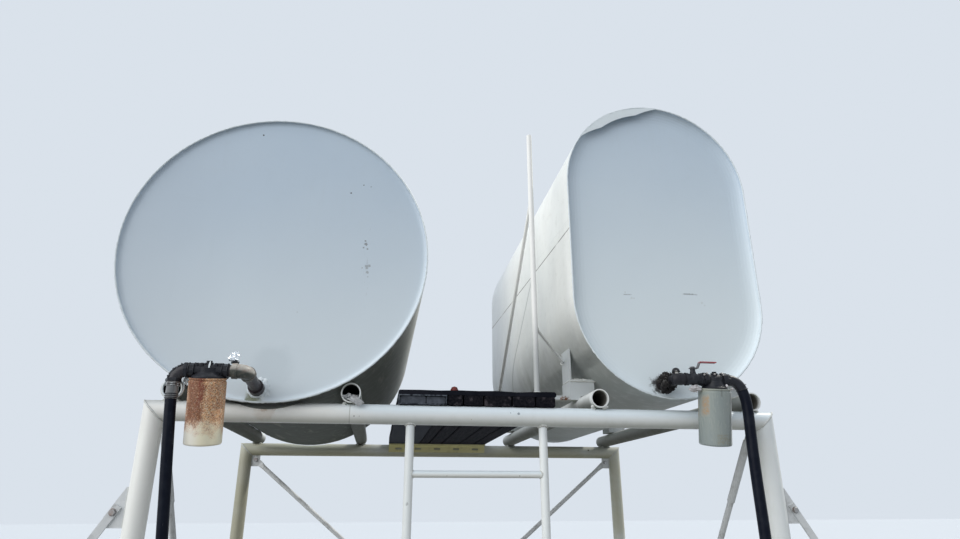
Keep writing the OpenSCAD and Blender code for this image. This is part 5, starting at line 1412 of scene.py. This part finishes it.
def make_deck():
    """Worn boards, the mat over them, boards in the channel's mouth and a knob on the mat."""
    low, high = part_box("deck_boards")
    share, gap = (48, 64, 91, 76, 66), 0.004
    spare = high.x - low.x - gap * (len(share) - 1)
    shape = Shape()
    x = low.x
    for i, part in enumerate(share):
        wide = spare * part / sum(share)
        plank(shape, (x, low.y, low.z), (x + wide, high.y, high.z), 3 * i)
        x += wide + gap
    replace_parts(shape.finish("worn_deck_boards", MATERIALS["boards"]), "deck_boards")

    shape = Shape()
    low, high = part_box("deck_top_sheet")
    plank(shape, (low.x, low.y, low.z), (high.x, high.y, high.z), 21, 0.0022, 0.02, 0.004)
    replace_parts(shape.finish("worn_deck_sheet", MATERIALS["mat"]), "deck_top_sheet")

    shape = Shape()
    low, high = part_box("deck_channel")
    ends = ((low.x + 0.0046, low.x + 0.0850), (low.x + 0.0870, high.x - 0.0046))
    for i, (x0, x1) in enumerate(ends):
        front, back = low.y + 0.004 + 0.002 * i, low.y + 0.165
        plank(shape, (x0, front, low.z + 0.0042), (x1, back, high.z - 0.0046), 31 + i)
    shape.finish("channel_end_boards", MATERIALS["end_boards"])

    shape = Shape()
    knob_x, knob_y = -0.075, -0.600
    side = [(0.0115, 0), (0.0125, 0.004), (0.0118, 0.013), (0.0090, 0.020)]
    shape.lathe([(0.0004, 0), *side, (0.0004, 0.0235)],
                Matrix.Translation((knob_x, knob_y, DECK_TOP - 0.001)), 20)
    shape.finish("deck_knob", MATERIALS["knob"])

    shape = Shape()
    chip = ring_of((knob_x, knob_y, DECK_TOP + 0.0135), (0, 0.55, 1), 0.0122, 14, 195, 345)
    shape.tube(chip, 0.0020, 6)
    shape.finish("deck_knob_chip", MATERIALS["lump"])


def make_strap():
    """Grey strap left in the mouth of the second rail, which leaves over its lower rim."""
    rng = random.Random(71)
    x = RAILS_ROUND[1]
    shape = Shape()
    points = [(x + 0.001, -0.560, 1.911), (x - 0.002, -0.600, 1.913), (x - 0.004, -0.640, 1.916),
              (x - 0.004, -0.660, 1.914), (x - 0.001, -0.674, 1.917), (x + 0.008, -0.679, 1.911),
              (x + 0.018, -0.681, 1.906), (x + 0.027, -0.682, 1.900), (x + 0.033, -0.681, 1.893)]
    strip(shape, points, (0.85, 0, 0.5), 0.022, 0.0022, rng)
    for i, (dx, z) in enumerate(((-0.014, 1.9150), (-0.006, 1.9185), (0.003, 1.9125), (0.012, 1.9135))):
        shape.blob((x + dx, -0.666, z + 0.002), (0.0110, 0.011, 0.0090), 5 + i, 0.7, 1.9, 3)
    shape.finish("rail_strap", MATERIALS["strap"], sharp=20)


def make_top_details():
    """Ribs round the fill caps and a screen band under each vent cap."""
    shape = Shape()
    band = [(0.0205, 0.102), (0.0232, 0.103), (0.0232, 0.116), (0.0205, 0.117)]
    for x, top, first, last in TOP_OPENINGS:
        cap = Matrix.Translation((x, first, top))
        for k in range(20):
            shape.block((0.0385, -0.0022, 0.058), (0.0408, 0.0022, 0.080), 0.0006,
                        cap @ Matrix.Rotation(math.radians(18 * k), 4, "Z"))
        shape.lathe(band, Matrix.Translation((x, last, top)), 32, loop=True)
    shape.finish("top_fitting_ribs", MATERIALS["fittings"])


make_welds()
make_structure_welds()
make_bolts()
make_left_fittings()
make_right_fittings()
make_deck()
make_strap()
make_top_details()


# Finish of the carried-over nodes
def dress(material, *names):
    for name in names:
        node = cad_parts[name]
        node.data.materials.clear()
        node.data.materials.append(MATERIALS[material])


dress("round_shell", "round_tank_shell")
dress("obround_shell", "obround_tank_shell")
dress("rim", "obround_tank_bent_rim")
dress("round_head", "round_tank_front_head", "round_tank_back_head")
dress("obround_head", "obround_tank_front_head", "obround_tank_back_head")
dress("fittings", "round_tank_top_fittings", "obround_tank_top_fittings")
dress("frame", "front_beam", "front_left_leg", "front_right_leg", "ladder_stiles", "ladder_rungs")
dress("back_frame", "back_beam", "back_left_leg", "back_right_leg")
dress("rails", "round_tank_rails", "obround_tank_rails")
dress("brackets", "tank_brackets", "bracket_blocks")
dress("handrail", "handrail_post", "handrail_stay", "handrail_strut")
dress("steel", "back_cross_braces", "side_braces", "brace_tabs", "outrigger_braces", "outrigger_feet")
dress("channel", "deck_channel")
dress("angle", "deck_back_angle")
dress("iron", "left_filter_head", "right_filter_head", "right_hose_fitting")
dress("left_pipe", "left_outlet_pipe")
dress("right_pipe", "right_outlet_pipe")
dress("swivel", "left_hose_fitting")
dress("valve", "right_valve_body")
dress("lever", "right_valve_lever")
dress("left_canister", "left_filter_canister")
dress("right_canister", "right_filter_canister")
dress("nozzle", "left_nozzle", "right_nozzle")
for hose in (left_hose, right_hose):
    hose.data.materials.append(MATERIALS["rubber"])
